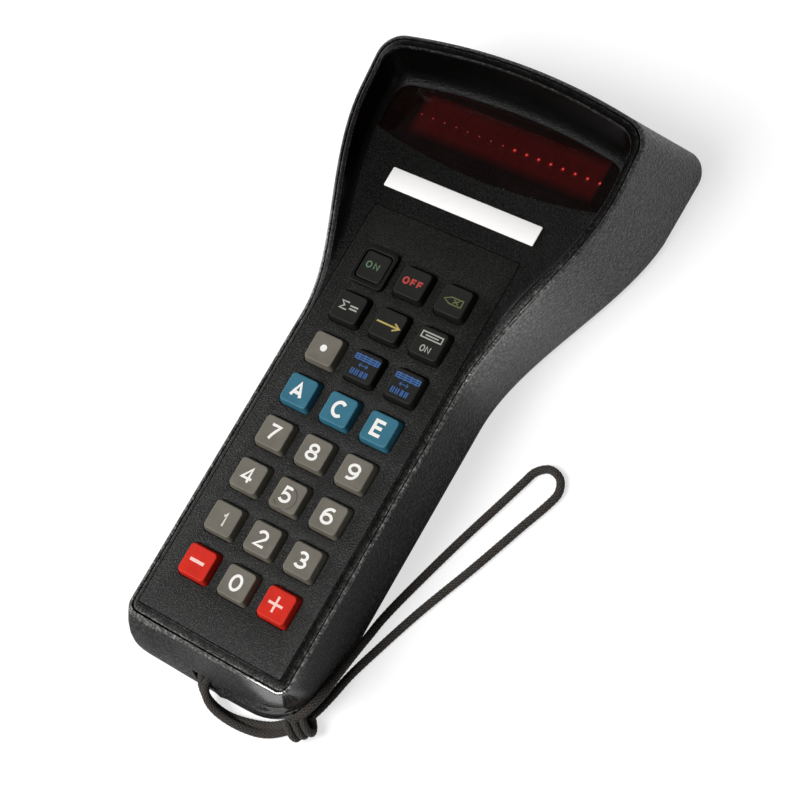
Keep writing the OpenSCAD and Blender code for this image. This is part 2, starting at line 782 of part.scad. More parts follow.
// Route of the cord: out of the notch, through the knot, out along the handle to the
// loop's tip and back the same way
CORD_ROUTE = [
    [-7.5, -107.05, 8.5], [-7.2, -109.6, 7.9], [-5.9, -112.4, 6.2], [-3, -114.8, 3.8],
    [1.2, -115.9, 2], [6.5, -115.8, 1.4], [12.8, -114.4, 1.4], [18.2, -112.5, 1.8],
    [22.7, -110.2, 3.9], [27, -106.9, 7], [30.3, -102.4, 9.2], [32.2, -96.6, 9.7],
    [32.4, -89, 7.6], [32.4, -80.4, 4.6], [32.6, -73.5, 2.2], [33.4, -67.2, 1.4],
    [36.2, -57, 1.4], [42.4, -37.2, 1.4], [49.2, -17.6, 1.4], [51.8, -10, 1.4],
    [53.6, -5.4, 1.4], [57.3, -2.8, 1.4], [61.6, -4, 1.4], [63.5, -8.2, 1.4],
    [62.2, -13.4, 1.4], [58.7, -22, 1.4], [51.4, -40.4, 1.4], [42.8, -60.6, 1.4],
    [36.4, -78, 1.4], [33.4, -87.6, 1.8], [32, -95.6, 2.8], [29.7, -102.4, 2.2],
    [26.6, -108, 1.4], [22.8, -112.4, 1.4], [17.6, -115.6, 1.5], [11.2, -117.1, 2.7],
    [4.6, -117.2, 4.4], [-0.8, -115.8, 6.2], [-4, -112.4, 8], [-4.5, -107.05, 8.5]
];
CORD_SIDES = 8;

function unit(v) = v / norm(v);
// Side direction of the tube at a point of the route, level with the ground
function cord_side(d) = unit(cross(d, [0, 0, 1]));

module wrist_cord() color([0.06, 0.055, 0.05]) {
    n = len(CORD_ROUTE);
    rings = [for (i = [0:n - 1])
        let (d = unit(CORD_ROUTE[min(i + 1, n - 1)] - CORD_ROUTE[max(i - 1, 0)]),
             side = cord_side(d), up = cross(side, d))
            [for (j = [0:CORD_SIDES - 1])
                let (a = 360 * (j + 0.5) / CORD_SIDES)
                    CORD_ROUTE[i] + cord_d / 2 * (cos(a) * side + sin(a) * up)]];
    loft(rings);
}

module cord_knot() color([0.06, 0.055, 0.05]) {
    translate(knot_at)
        rotate([0, 0, 46])
            rotate([0, 90, 0])
                rotate_extrude()
                    polygon([[0, -5.2], [2.6, -4.9], [3.8, -3], [4, 0], [3.8, 3], [2.6, 4.9], [0, 5.2]]);
}

// ---- Assembly -----------------------------------------------------------------------

rear_housing();
front_housing();
keypad_panel();
display_lens();
label_plate();
for (k = KEYS)
    keycap(k, tint_of(k[3]));
key_mat();
keypad_board();
board_screws();
display_board();
display_modules();
display_shade();
logic_board();
logic_chips();
keypad_ribbon();
display_ribbon();
buzzer();
battery_cells();
battery_springs();
battery_contacts();
battery_door();
door_hinge_pin();
shell_screws();
threaded_inserts();
port_socket();
port_jackscrews();
strap_anchor();
wrist_cord();
cord_knot();
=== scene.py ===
"""Looks of a hand-held bar code data terminal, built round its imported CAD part.

Laid out as an add-on: sizes and colours are properties, each piece or group of like pieces has an
operator, and main() runs the operators in order. Lengths are in millimetres until a mesh is made.
"""

import json
import math

import bmesh
import bpy
import numpy as np
from bpy.props import FloatProperty, FloatVectorProperty, PointerProperty
from mathutils import Matrix, Vector

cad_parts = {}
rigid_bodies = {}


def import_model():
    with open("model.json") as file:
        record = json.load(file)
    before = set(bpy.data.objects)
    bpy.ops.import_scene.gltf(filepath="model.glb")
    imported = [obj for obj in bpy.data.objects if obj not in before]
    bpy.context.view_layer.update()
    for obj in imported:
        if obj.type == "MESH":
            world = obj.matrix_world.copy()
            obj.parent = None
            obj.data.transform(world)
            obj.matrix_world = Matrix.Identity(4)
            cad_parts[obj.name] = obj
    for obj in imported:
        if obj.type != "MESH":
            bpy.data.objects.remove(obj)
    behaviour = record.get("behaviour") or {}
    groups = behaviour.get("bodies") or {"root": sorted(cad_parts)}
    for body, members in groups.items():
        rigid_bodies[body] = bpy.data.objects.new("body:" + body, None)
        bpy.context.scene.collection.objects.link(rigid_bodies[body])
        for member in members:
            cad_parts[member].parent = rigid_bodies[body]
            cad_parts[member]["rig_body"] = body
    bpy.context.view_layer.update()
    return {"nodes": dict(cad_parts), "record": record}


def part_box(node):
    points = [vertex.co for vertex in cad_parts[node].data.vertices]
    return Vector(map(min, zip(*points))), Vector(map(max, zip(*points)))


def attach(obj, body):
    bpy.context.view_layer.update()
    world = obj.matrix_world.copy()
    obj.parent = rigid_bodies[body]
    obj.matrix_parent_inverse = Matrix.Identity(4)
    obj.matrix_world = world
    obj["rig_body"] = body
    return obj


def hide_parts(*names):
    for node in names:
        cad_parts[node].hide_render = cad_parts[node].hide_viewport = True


bl_info = {
    "name": "Bar code data terminal",
    "version": (1, 0, 0),
    "blender": (4, 5, 0),
    "location": "3D View > Sidebar > Terminal",
    "description": "Builds the shells, keypad, display and wrist strap round the CAD part",
    "category": "Object",
}

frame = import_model()

MM = 0.001

# The camera, in metres: its place and the directions of its right side, top and back
CAMERA_PLACE = (0.275855, -0.112230, 0.555075)
CAMERA_RIGHT = (0.81314389, 0.49491373, -0.30636158)
CAMERA_UP = (-0.38318832, 0.85135649, 0.35827202)
CAMERA_BACK = (0.43813666, -0.17393253, 0.88192048)
CAMERA_LENS = 88.31
CAMERA_SENSOR = 36.0
CAMERA_CLIP = (0.01, 20.0)


# ---- Properties ---------------------------------------------------------------------------


def number(name, description, default):
    """A number that a user can change. Its description gives the unit."""
    return FloatProperty(name=name, description=description, default=default, min=0.0, precision=3)


def colour(name, description, default):
    """A linear colour that a user can change."""
    return FloatVectorProperty(
        name=name, description=description, default=default, size=3, subtype="COLOR", min=0.0, max=1.0
    )


class ShellSettings(bpy.types.PropertyGroup):
    """Outline and finish of the two shells."""

    handle_w: number("Handle width", "Width of the handle at the top edge, mm", 62.0)
    handle_base_w: number("Handle width at the back", "Width of the handle at the back, mm", 61.8)
    head_w: number("Head width", "Width of the head at the top edge, mm", 98.2)
    head_base_w: number("Head width at the back", "Width of the head at the back, mm", 108.6)
    foot_top: number("Foot, top edge", "From the origin to the foot at the top edge, mm", 103.9)
    foot_base: number("Foot, back", "From the origin to the foot at the back, mm", 111.8)
    head_top: number("Head end, top edge", "From the origin to the head end at the top edge, mm", 101.05)
    head_base: number("Head end, back", "From the origin to the head end at the back, mm", 112.3)
    face_z: number("Face height", "Height of the keypad face above the back, mm", 30.5)
    rim_slope: number("Rim slope", "Rise of the hood's rim for each millimetre along the head", 0.172)
    end_bow_r: number("End bow", "Radius of the head end's bow at the top edge, mm", 220.0)
    base_bow_r: number("End bow at the back", "Radius of the head end's bow at the back, mm", 450.0)
    grain: number("Grain", "Width of a pebble in the moulded grain, mm", 1.0)
    grain_depth: number("Grain depth", "Depth of the moulded grain, mm", 0.44)
    black: colour("Black plastic", "Colour of the shells", (0.0115, 0.0115, 0.0108))
    # The lighter grain tops are partly rubbing and partly a painted sparkle
    rubbed_sparkle: colour("Rubbed grain", "Colour of the tops of the grain", (0.028, 0.028, 0.0265))
    # The lighter edge colour is partly wear and partly a painted highlight on the edges and the neck
    worn_glint: colour("Worn edge", "Colour of the plastic where edges are rubbed", (0.28, 0.28, 0.27))


class KeypadSettings(bpy.types.PropertyGroup):
    """Colours of the keys and what is printed on them."""

    panel: colour("Panel", "Colour of the keypad panel", (0.0125, 0.0125, 0.0115))
    grey: colour("Grey keys", "Colour of the digit keys", (0.156, 0.144, 0.117))
    blue: colour("Blue keys", "Colour of the letter keys", (0.036, 0.155, 0.225))
    red: colour("Red keys", "Colour of the plus and minus keys", (0.62, 0.024, 0.013))
    black: colour("Black keys", "Colour of the function keys", (0.0105, 0.0105, 0.009))
    digit_h: number("Digit height", "Height of a digit on its key, mm", 5.5)
    stroke: number("Stroke", "Width of the strokes of the digits, mm", 0.93)
    dish: number("Dish", "Depth of the hollow in a key's top, mm", 0.1)


class DisplaySettings(bpy.types.PropertyGroup):
    """Lens and LED modules."""

    lens: colour("Lens", "Colour of the smoked lens", (0.0055, 0.0022, 0.0018))
    # The modules' red also gives them a faint painted glow
    led: colour("Modules", "Colour of the LED modules", (0.300, 0.006, 0.006))
    # The dots glow as painted highlights of the light on the modules' lenses
    dot: colour("LED", "Colour of the LED dots", (1.0, 0.13, 0.11))
    label: colour("Label", "Colour of the bare label plate", (0.98, 0.97, 0.955))
    char_pitch: number("Character pitch", "Distance between LED characters, mm", 4.5)


class StrapSettings(bpy.types.PropertyGroup):
    """Braided wrist cord."""

    diameter: number("Diameter", "Diameter of the cord, mm", 2.8)
    braid: number("Braid", "Length of a cell of the braid along the cord, mm", 1.5)
    yarn: colour("Yarn", "Colour of the yarn", (0.034, 0.031, 0.028))


class StageSettings(bpy.types.PropertyGroup):
    """Floor and light."""

    floor: colour("Floor", "Colour of the floor", (0.86, 0.86, 0.86))
    key_light: number("Key light", "Power of the key light, W", 41.0)
    left_light: number("Left light", "Power of the low light on the left, W", 3.0)
    right_light: number("Right light", "Power of the low light on the right, W", 0.32)
    sky: number("Sky", "Strength of the light from all round", 0.08)


# ---- Numbers and curves ------------------------------------------------------------------


def mix(a, b, t):
    return a + (b - a) * t


def ease(t):
    t = np.clip(t, 0.0, 1.0)
    return t * t * (3.0 - 2.0 * t)


def hump(t):
    """1 at t = 0, falling smoothly to 0 on both sides."""
    return np.exp(-t * t)


def node_box(node):
    """Lowest and highest corner of a CAD node, in millimetres."""
    low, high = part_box(node)
    return np.array(low) / MM, np.array(high) / MM


def node_centre(node):
    low, high = node_box(node)
    return (low + high) / 2


def rounded_ring(w, d, r, steps=6):
    """Corner points of a rounded rectangle, anticlockwise."""
    points = []
    for sx, sy, start in ((1, 1, 0), (-1, 1, 90), (-1, -1, 180), (1, -1, 270)):
        for a in np.radians(start + np.linspace(0, 90, steps)):
            points.append((sx * (w / 2 - r) + r * math.cos(a), sy * (d / 2 - r) + r * math.sin(a)))
    return np.array(points)


def at_height(ring, z):
    """A flat ring as points at the height z, which may differ from point to point."""
    return np.column_stack([ring, np.broadcast_to(z, len(ring))])


def smooth_path(points, step):
    """Points every step along a smooth curve through the given ones."""
    points = np.asarray(points, float)
    padded = np.vstack([2 * points[0] - points[1], points, 2 * points[-1] - points[-2]])
    out = []
    for a, b, c, d in zip(padded, padded[1:], padded[2:], padded[3:]):
        count = max(2, int(round(np.linalg.norm(c - b) / step)))
        for t in np.arange(count) / count:
            point = 2 * b + (c - a) * t + (2 * a - 5 * b + 4 * c - d) * t**2
            out.append(0.5 * (point + (3 * b - a - 3 * c + d) * t**3))
    return np.array(out + [points[-1]])


# ---- Meshes ---------------------------------------------------------------------------------

# Faces that meet at more than this angle, in degrees, meet at a sharp edge: on most pieces, on cords
# and wires, and on keycaps
SHARP, ROUND_SHARP, CAP_SHARP = 32, 60, 40
# Bevels break the edges from this angle on
BEVEL_FROM = 30
# Points closer than this, in metres, and faces within this angle are merged in a CAD node's copy
MERGE_DISTANCE = 1e-6
FLAT_ANGLE = 0.5


class Solid:
    """Points and faces that are gathered before they become one mesh."""

    def __init__(self):
        self.points, self.faces, self.wear, self.polish = [], [], [], []

    def add(self, points, faces, wear=0.0, polish=0.0):
        start = len(self.points)
        self.points.extend(np.asarray(points, float).tolist())
        self.faces.extend([[start + i for i in face] for face in faces])
        self.wear.extend(np.broadcast_to(wear, len(points)).tolist())
        self.polish.extend(np.broadcast_to(polish, len(points)).tolist())
        return self

    def loft(self, rings, wear=None, polish=None, hollow=False):
        """A closed solid between rings of the same even count. Its two ends are flat, or the last ring is
        joined to the first where it is hollow. The wear and polish shares hold a number for each ring, or
        an array where it changes from point to point. The wear share lightens a piece's colour, and on many
        pieces that also paints a highlight."""
        n, count = len(rings[0]), len(rings)
        faces = []
        for r in range(count if hollow else count - 1):
            a, b = r * n, (r + 1) % count * n
            faces += [[a + i, a + (i + 1) % n, b + (i + 1) % n, b + i] for i in range(n)]
        for start, turned in () if hollow else ((0, True), ((count - 1) * n, False)):
            lid = [[0, 1, n - 1]] + [[i, i + 1, n - i - 1, n - i] for i in range(1, n // 2 - 1)]
            lid += [[n // 2 - 1, n // 2, n // 2 + 1]]
            faces += [[start + i for i in (face[::-1] if turned else face)] for face in lid]
        shares = []
        for values in (wear, polish):
            shares.append(np.concatenate([np.broadcast_to(v, n) for v in values or [0.0] * count]))
        return self.add(np.vstack(rings), faces, *shares)

    def prism(self, ring, low_z, high_z):
        """A flat ring, drawn up from one height to another."""
        return self.loft([at_height(ring, low_z), at_height(ring, high_z)])

    def box(self, low, high):
        (x0, x1), (y0, y1), (z0, z1) = zip(low, high)
        return self.prism(np.array([(x0, y0), (x1, y0), (x1, y1), (x0, y1)]), z0, z1)

    def lathe(self, profile, base=(0, 0, 0), axis="z", sides=32):
        """A turned solid from (radius, height) pairs, rising from base along an axis."""
        angles = np.radians(np.arange(sides) * 360 / sides)
        rings = []
        for r, h in profile:
            ring = np.column_stack([r * np.cos(angles), r * np.sin(angles), np.full(sides, h)])
            if axis == "y":
                ring = np.column_stack([ring[:, 0], ring[:, 2], -ring[:, 1]])
            elif axis == "x":
                ring = np.column_stack([ring[:, 2], ring[:, 0], ring[:, 1]])
            rings.append(ring + np.array(base, float))
        return self.loft(rings)

    def mesh(self, name, sharp=SHARP):
        """The mesh, in metres, smooth except where faces meet at more than sharp degrees."""
        mesh = bpy.data.meshes.new(name)
        mesh.from_pydata((np.array(self.points) * MM).tolist(), [], self.faces)
        for label, values in (("wear", self.wear), ("polish", self.polish)):
            layer = mesh.attributes.new(label, "FLOAT", "POINT")
            layer.data.foreach_set("value", np.array(values, np.float32))
        return soften(mesh, sharp)

    def piece(self, name, sharp=SHARP):
        """An object of the mesh as it is."""
        return new_object(name, self.mesh(name, sharp))

    def turned_out(self, name, sharp=SHARP):
        """An object of the mesh, with the faces of each closed part turned outwards."""
        mesh = self.mesh(name, sharp)
        work = bmesh.new()
        work.from_mesh(mesh)
        bmesh.ops.recalc_face_normals(work, faces=work.faces)
        work.to_mesh(mesh)
        work.free()
        return new_object(name, soften(mesh, sharp))


def soften(mesh, sharp=SHARP):
    mesh.shade_smooth()
    mesh.set_sharp_from_angle(angle=math.radians(sharp))
    mesh.update()
    return mesh


def new_object(name, data):
    obj = bpy.data.objects.new(name, data)
    bpy.context.scene.collection.objects.link(obj)
    return obj


def drop(obj):
    mesh = obj.data
    bpy.data.objects.remove(obj)
    if not mesh.users:
        bpy.data.meshes.remove(mesh)


def settled(obj):
    """The object with its modifiers turned into plain mesh."""
    bpy.context.view_layer.update()
    mesh = bpy.data.meshes.new_from_object(obj.evaluated_get(bpy.context.evaluated_depsgraph_get()))
    name = obj.name
    drop(obj)
    mesh.name = name
    return new_object(name, soften(mesh))


def combined(obj, other, operation):
    """Joins the other object to this one, or cuts it out, and leaves a plain mesh."""
    modifier = obj.modifiers.new(operation.title(), "BOOLEAN")
    modifier.object = other
    modifier.operation = operation
    modifier.solver = "EXACT"
    modifier.use_self = True
    result = settled(obj)
    drop(other)
    return result


def bevelled(obj, width, segments=2):
    modifier = obj.modifiers.new("Edges", "BEVEL")
    modifier.width = width * MM
    modifier.segments = segments
    modifier.limit_method = "ANGLE"
    modifier.angle_limit = math.radians(BEVEL_FROM)
    return settled(obj)


def polished(node, width):
    """A clean copy of a CAD node, its triangles merged into faces and its edges broken."""
    mesh = frame["nodes"][node].data.copy()
    work = bmesh.new()
    work.from_mesh(mesh)
    bmesh.ops.remove_doubles(work, verts=work.verts, dist=MERGE_DISTANCE)
    bmesh.ops.dissolve_limit(
        work,
        angle_limit=math.radians(FLAT_ANGLE),
        verts=work.verts,
        edges=work.edges,
        use_dissolve_boundaries=False,
    )
    work.to_mesh(mesh)
    work.free()
    mesh.materials.clear()
    return bevelled(new_object(node + "_piece", soften(mesh)), width)


def slot_of(node):
    for part in frame["record"]["subparts"]:
        if part["node"] == node:
            return part["material_slot"]
    raise RuntimeError(f"no sub-part named {node}")


def finish(obj, name, material, node, replaces=True, slot=None):
    """Names a piece, gives it its material and hangs it on a CAD node's body, in the node's place
    unless replaces is false."""
    obj.name = name
    obj.data.name = name
    obj.data.materials.clear()
    obj.data.materials.append(material)
    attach(obj, frame["nodes"][node]["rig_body"])
    if replaces:
        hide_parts(node)
    slot or slot_of(node)
    return obj


def dress(node, name, material, width):
    """A CAD node's clean copy in its own material, in the node's place."""
    return finish(polished(node, width), name, material, node)


# ---- Repeats by geometry nodes ----------------------------------------------------------------


def repeat_tree():
    """A node tree that sets one item on every point, turned by the angle that the point carries."""
    name = "Repeat on points"
    if name in bpy.data.node_groups:
        return bpy.data.node_groups[name]
    tree = bpy.data.node_groups.new(name, "GeometryNodeTree")
    for label, kind in (
        ("Points", "NodeSocketGeometry"),
        ("Item", "NodeSocketObject"),
        ("Size", "NodeSocketFloat"),
        ("Finish", "NodeSocketMaterial"),
    ):
        tree.interface.new_socket(label, in_out="INPUT", socket_type=kind)
    tree.interface.new_socket("Result", in_out="OUTPUT", socket_type="NodeSocketGeometry")
    make = tree.nodes.new
    start, end = make("NodeGroupInput"), make("NodeGroupOutput")
    item = make("GeometryNodeObjectInfo")
    turn = make("GeometryNodeInputNamedAttribute")
    turn.data_type = "FLOAT_VECTOR"
    turn.inputs["Name"].default_value = "turn"
    spread = make("GeometryNodeInstanceOnPoints")
    real = make("GeometryNodeRealizeInstances")
    coat = make("GeometryNodeSetMaterial")
    link = tree.links.new
    link(start.outputs["Item"], item.inputs["Object"])
    link(start.outputs["Points"], spread.inputs["Points"])
    link(item.outputs["Geometry"], spread.inputs["Instance"])
    link(turn.outputs["Attribute"], spread.inputs["Rotation"])
    link(start.outputs["Size"], spread.inputs["Scale"])
    link(spread.outputs["Instances"], real.inputs["Geometry"])
    link(real.outputs["Geometry"], coat.inputs["Geometry"])
    link(start.outputs["Finish"], coat.inputs["Material"])
    link(coat.outputs["Geometry"], end.inputs["Result"])
    return tree


def set_input(modifier, label, value):
    for item in modifier.node_group.interface.items_tree:
        if item.name == label and item.in_out == "INPUT":
            modifier[item.identifier] = value
            return
    raise RuntimeError(f"the tree has no input named {label}")


def repeated(item, places, material, turns=None, size=1.0):
    """The item at each place, in millimetres, as one plain mesh. turns are angles about x, y and z."""
    cloud = bpy.data.meshes.new("places")
    cloud.from_pydata((np.asarray(places, float) * MM).tolist(), [], [])
    attribute = cloud.attributes.new("turn", "FLOAT_VECTOR", "POINT")
    turns = np.zeros((len(places), 3)) if turns is None else np.radians(turns)
    attribute.data.foreach_set("vector", np.asarray(turns, np.float32).ravel())
    host = new_object("repeat", cloud)
    modifier = host.modifiers.new("Repeat", "NODES")
    modifier.node_group = repeat_tree()
    set_input(modifier, "Item", item)
    set_input(modifier, "Size", size)
    set_input(modifier, "Finish", material)
    result = settled(host)
    drop(item)
    return result


# ---- Materials -----------------------------------------------------------------------------------


class Finish:
    """A material and short calls that build its nodes."""

    def __init__(self, name, **shader):
        self.material = bpy.data.materials.new(name)
        self.material.use_nodes = True
        self.tree = self.material.node_tree
        self.shader = self.tree.nodes["Principled BSDF"]
        self.place = self.node("TexCoord").outputs["Object"]
        for label, value in shader.items():
            self.set(label.replace("_", " "), value)

    def put(self, socket, value):
        if isinstance(value, bpy.types.NodeSocket):
            self.tree.links.new(value, socket)
        elif socket.type == "RGBA" and len(value) == 3:
            socket.default_value = (*value, 1.0)
        else:
            socket.default_value = value

    def node(self, kind, inputs=None, **settings):
        node = self.tree.nodes.new("ShaderNode" + kind)
        for label, value in settings.items():
            setattr(node, label, value)
        for label, value in (inputs or {}).items():
            self.put(node.inputs[label], value)
        return node

    def noise(self, cell, detail=3.0, place=None):
        """Soft noise whose patches are about cell millimetres wide."""
        inputs = {"Vector": place or self.place, "Scale": 1 / (cell * MM)}
        inputs |= {"Detail": detail, "Roughness": 0.55}
        return self.node("TexNoise", inputs).outputs["Fac"]

    def pebbles(self, cell):
        """Distance to the middle of the nearest pebble, about cell millimetres wide."""
        inputs = {"Vector": self.place, "Scale": 1 / (cell * MM), "Smoothness": 0.3}
        return self.node("TexVoronoi", inputs, feature="SMOOTH_F1").outputs["Distance"]

    def spread(self, value, low, high, out_low=0.0, out_high=1.0):
        """The value's range from low to high, stretched over another range."""
        inputs = {"Value": value, "From Min": low, "From Max": high, "To Min": out_low, "To Max": out_high}
        return self.node("MapRange", inputs).outputs["Result"]

    def along(self, axis, low, high, out_low=0.0, out_high=1.0):
        """A ramp between two places on an axis, in millimetres."""
        place = self.node("SeparateXYZ", {"Vector": self.place}).outputs[axis]
        return self.spread(place, low * MM, high * MM, out_low, out_high)

    def times(self, a, b):
        return self.math("MULTIPLY", a, b)

    def math(self, operation, a, b=0.0):
        node = self.node("Math", operation=operation)
        self.put(node.inputs[0], a)
        self.put(node.inputs[1], b)
        return node.outputs["Value"]

    def blend(self, share, a, b):
        """Colour a where share is 0 and b where it is 1."""
        node = self.node("Mix", data_type="RGBA")
        self.put(node.inputs["Factor"], share)
        self.put(node.inputs[6], a)
        self.put(node.inputs[7], b)
        return node.outputs[2]

    def bump(self, height, depth, before=None):
        """Relief of a depth in millimetres, on top of an earlier one."""
        inputs = {"Height": height, "Distance": depth * MM, "Strength": 1.0}
        if before:
            inputs["Normal"] = before
        return self.node("Bump", inputs).outputs["Normal"]

    def attribute(self, name):
        return self.node("Attribute", attribute_name=name).outputs["Fac"]

    def set(self, label, value):
        self.put(self.shader.inputs[label], value)


def darker(tone, share):
    return tuple(c * share for c in tone)


BLACK = (0.0, 0.0, 0.0)
# How far the worn and lightened edges take the roughness down, and the roughness and grain where all is
# polished away
WORN_SMOOTHER = 0.08
POLISHED_ROUGH, POLISHED_GRAIN = 0.12, 0.08
# Where hands hold the handle and the neck, in mm along the part: from and to where each starts,
# and from and to where it ends, with the share of the gloss on the handle and the gain at the neck
HANDLE_START, HANDLE_END, HANDLE_GLOSS = (-90, -40), (-8, 12), 0.35
NECK_HELD_START, NECK_HELD_END, NECK_GLOSS = (0, 12), (30, 55), 0.5
# Where the face's pebble tops change from lighter to darker towards the head, and where its gloss does
HEAD_TOPS_RUN, HEAD_GLOSS_RUN = (0, 30), (-30, 30)


def grained_plastic(
    name, tone, rubbed_sparkle, worn_glint, cell, depth,
    rough=(0.24, 0.60), gloss=0.45, shine=0.5, coat=0.0, held=False, head_share=1.0,
):  # fmt: skip
    """Moulded plastic with a pebbled grain: dull in its hollows, which are painted darker as shade, with
    pebble tops painted lighter, partly as rubbing and partly as sparkle, lighter on worn edges, where that
    also paints their highlight, and smooth where the grain has been polished away. rough is the roughness
    on the pebbles and between them; shine and coat are the gloss and the clear coat where it is polished.
    held makes it duller along the handle and shinier at the neck. Otherwise the last argument is the share
    of the lighter pebble tops and of the gloss that is left towards the head."""
    f = Finish(name, Coat_Roughness=0.1)
    polish = f.attribute("polish")
    if coat:
        f.set("Coat Weight", f.times(polish, coat))
    pebble = f.spread(f.pebbles(cell), 0.1, 0.6, 1.0, 0.0)
    crumb = f.spread(f.noise(cell * 0.8, detail=2.0), 0.36, 0.64)
    pebble = f.math("ADD", f.times(pebble, 0.5), f.times(crumb, 0.5))
    height = f.times(pebble, f.spread(polish, 0.0, 1.0, 1.0, POLISHED_GRAIN))
    fine = f.times(f.noise(cell * 0.3, detail=2.0), f.math("SUBTRACT", 1.0, polish))
    patches = f.spread(f.noise(14.0, detail=4.0), 0.35, 0.65)
    # Lighter worn edges, partly wear and partly a painted highlight, broken up by noise and strongest on
    # the pebbles' tops
    wear = f.times(f.attribute("wear"), f.spread(f.noise(2.2), 0.35, 0.65, 0.35, 1.0))
    wear = f.times(wear, f.spread(pebble, 0.3, 0.6, 0.3, 1.15))
    base = f.blend(patches, darker(tone, 0.85), darker(tone, 1.2))
    # Painted shade: darker in the hollows between the pebbles
    base = f.blend(f.spread(height, 0.1, 0.5), darker(tone, 0.2), base)
    # Lighter pebble tops, partly rubbing and partly a painted sparkle
    rub_sparkle_share = f.times(f.spread(height, 0.55, 0.85), f.along("Y", *HEAD_TOPS_RUN, 1.0, head_share))
    base = f.blend(rub_sparkle_share, base, rubbed_sparkle)
    f.set("Base Color", f.blend(wear, base, worn_glint))
    dull = f.spread(pebble, 0.0, 1.0, rough[1], rough[0])
    dull = f.math("SUBTRACT", dull, f.times(wear, WORN_SMOOTHER))
    f.set("Roughness", f.spread(polish, 0.0, 1.0, dull, POLISHED_ROUGH))
    if held:
        handle = f.times(f.along("Y", *HANDLE_START), f.along("Y", *HANDLE_END, 1.0, 0.0))
        neck = f.times(f.along("Y", *NECK_HELD_START), f.along("Y", *NECK_HELD_END, 1.0, 0.0))
        gloss = f.spread(handle, 0.0, 1.0, gloss, gloss * HANDLE_GLOSS)
        gloss = f.math("ADD", gloss, f.times(neck, NECK_GLOSS))
    elif head_share < 1:
        gloss = f.along("Y", *HEAD_GLOSS_RUN, gloss, gloss * head_share)
    f.set("Specular IOR Level", f.spread(polish, 0.0, 1.0, gloss, shine))
    f.set("Normal", f.bump(fine, depth * 0.25, f.bump(height, depth)))
    return f.material


def satin_plastic(name, tone, rough=0.42, cell=0.25, depth=0.006, worn_glint=None, gloss=0.4):
    """Fine spark-eroded plastic, lighter in small rubbed specks, and lighter on edges marked for it, where
    that paints a highlight on the bevel.
    """
    f = Finish(name, Specular_IOR_Level=gloss)
    grain = f.noise(cell, detail=3.0)
    patches = f.spread(f.noise(5.0), 0.35, 0.65)
    base = f.blend(patches, darker(tone, 0.92), darker(tone, 1.08))
    base = f.blend(f.spread(f.noise(0.5, detail=5.0), 0.6, 0.75, 0.0, 0.25), base, darker(tone, 1.5))
    # Painted highlight: lighter where the wear share marks an edge
    base = f.blend(f.times(f.attribute("wear"), 0.5), base, worn_glint or darker(tone, 1.6))
    f.set("Base Color", base)
    f.set("Roughness", f.spread(f.noise(1.4), 0.3, 0.7, rough - 0.06, rough + 0.08))
    f.set("Normal", f.bump(grain, depth))
    return f.material


def ink(name, tone, faded=0.0):
    """Printed ink, thin in places."""
    f = Finish(name, Roughness=0.5)
    thin = f.spread(f.noise(0.35, detail=5.0), 0.52, 0.7, 0.0, 0.25 + faded)
    f.set("Base Color", f.blend(thin, tone, darker(tone, 0.45)))
    f.set("Normal", f.bump(f.noise(0.2), 0.004))
    return f.material


def plated_metal(name, tone, rough):
    """Plated steel with a soft, uneven sheen and fine scratches."""
    f = Finish(name, Metallic=1.0)
    cloud = f.noise(0.8, detail=4.0)
    scratch = f.node("Mapping", {"Vector": f.place, "Scale": (1.0, 9.0, 9.0)}).outputs["Vector"]
    lines = f.noise(0.6, detail=2.0, place=scratch)
    f.set("Base Color", f.blend(f.spread(cloud, 0.35, 0.65), darker(tone, 0.8), tone))
    f.set("Roughness", f.spread(lines, 0.3, 0.7, rough - 0.08, rough + 0.14))
    f.set("Normal", f.bump(lines, 0.004))
    return f.material


def circuit_board(name):
    """Green solder mask over tracks, with a faint weave of the glass cloth."""
    f = Finish(name, Roughness=0.35)
    rows = {"Brick Width": 6.5 * MM, "Row Height": 1.27 * MM, "Mortar Size": 0.18 * MM}
    tracks = f.node("TexBrick", {"Vector": f.place, "Scale": 1.0, **rows}).outputs["Fac"]
    weave = f.noise(0.4, detail=2.0)
    mask, track, glass = (0.010, 0.085, 0.030), (0.020, 0.160, 0.060), (0.015, 0.110, 0.045)
    base = f.blend(tracks, mask, track)
    f.set("Base Color", f.blend(f.spread(weave, 0.4, 0.6, 0.0, 0.3), base, glass))
    f.set("Normal", f.bump(tracks, 0.03))
    return f.material


def smoked_lens(name, tone):
    """Clear red plastic, dark with its own tint and very smooth."""
    f = Finish(name, Alpha=0.5, Specular_IOR_Level=0.5)
    smears = f.noise(9.0, detail=5.0)
    f.set("Base Color", f.blend(f.spread(smears, 0.4, 0.65), tone, darker(tone, 1.6)))
    f.set("Roughness", f.spread(smears, 0.35, 0.7, 0.05, 0.14))
    return f.material


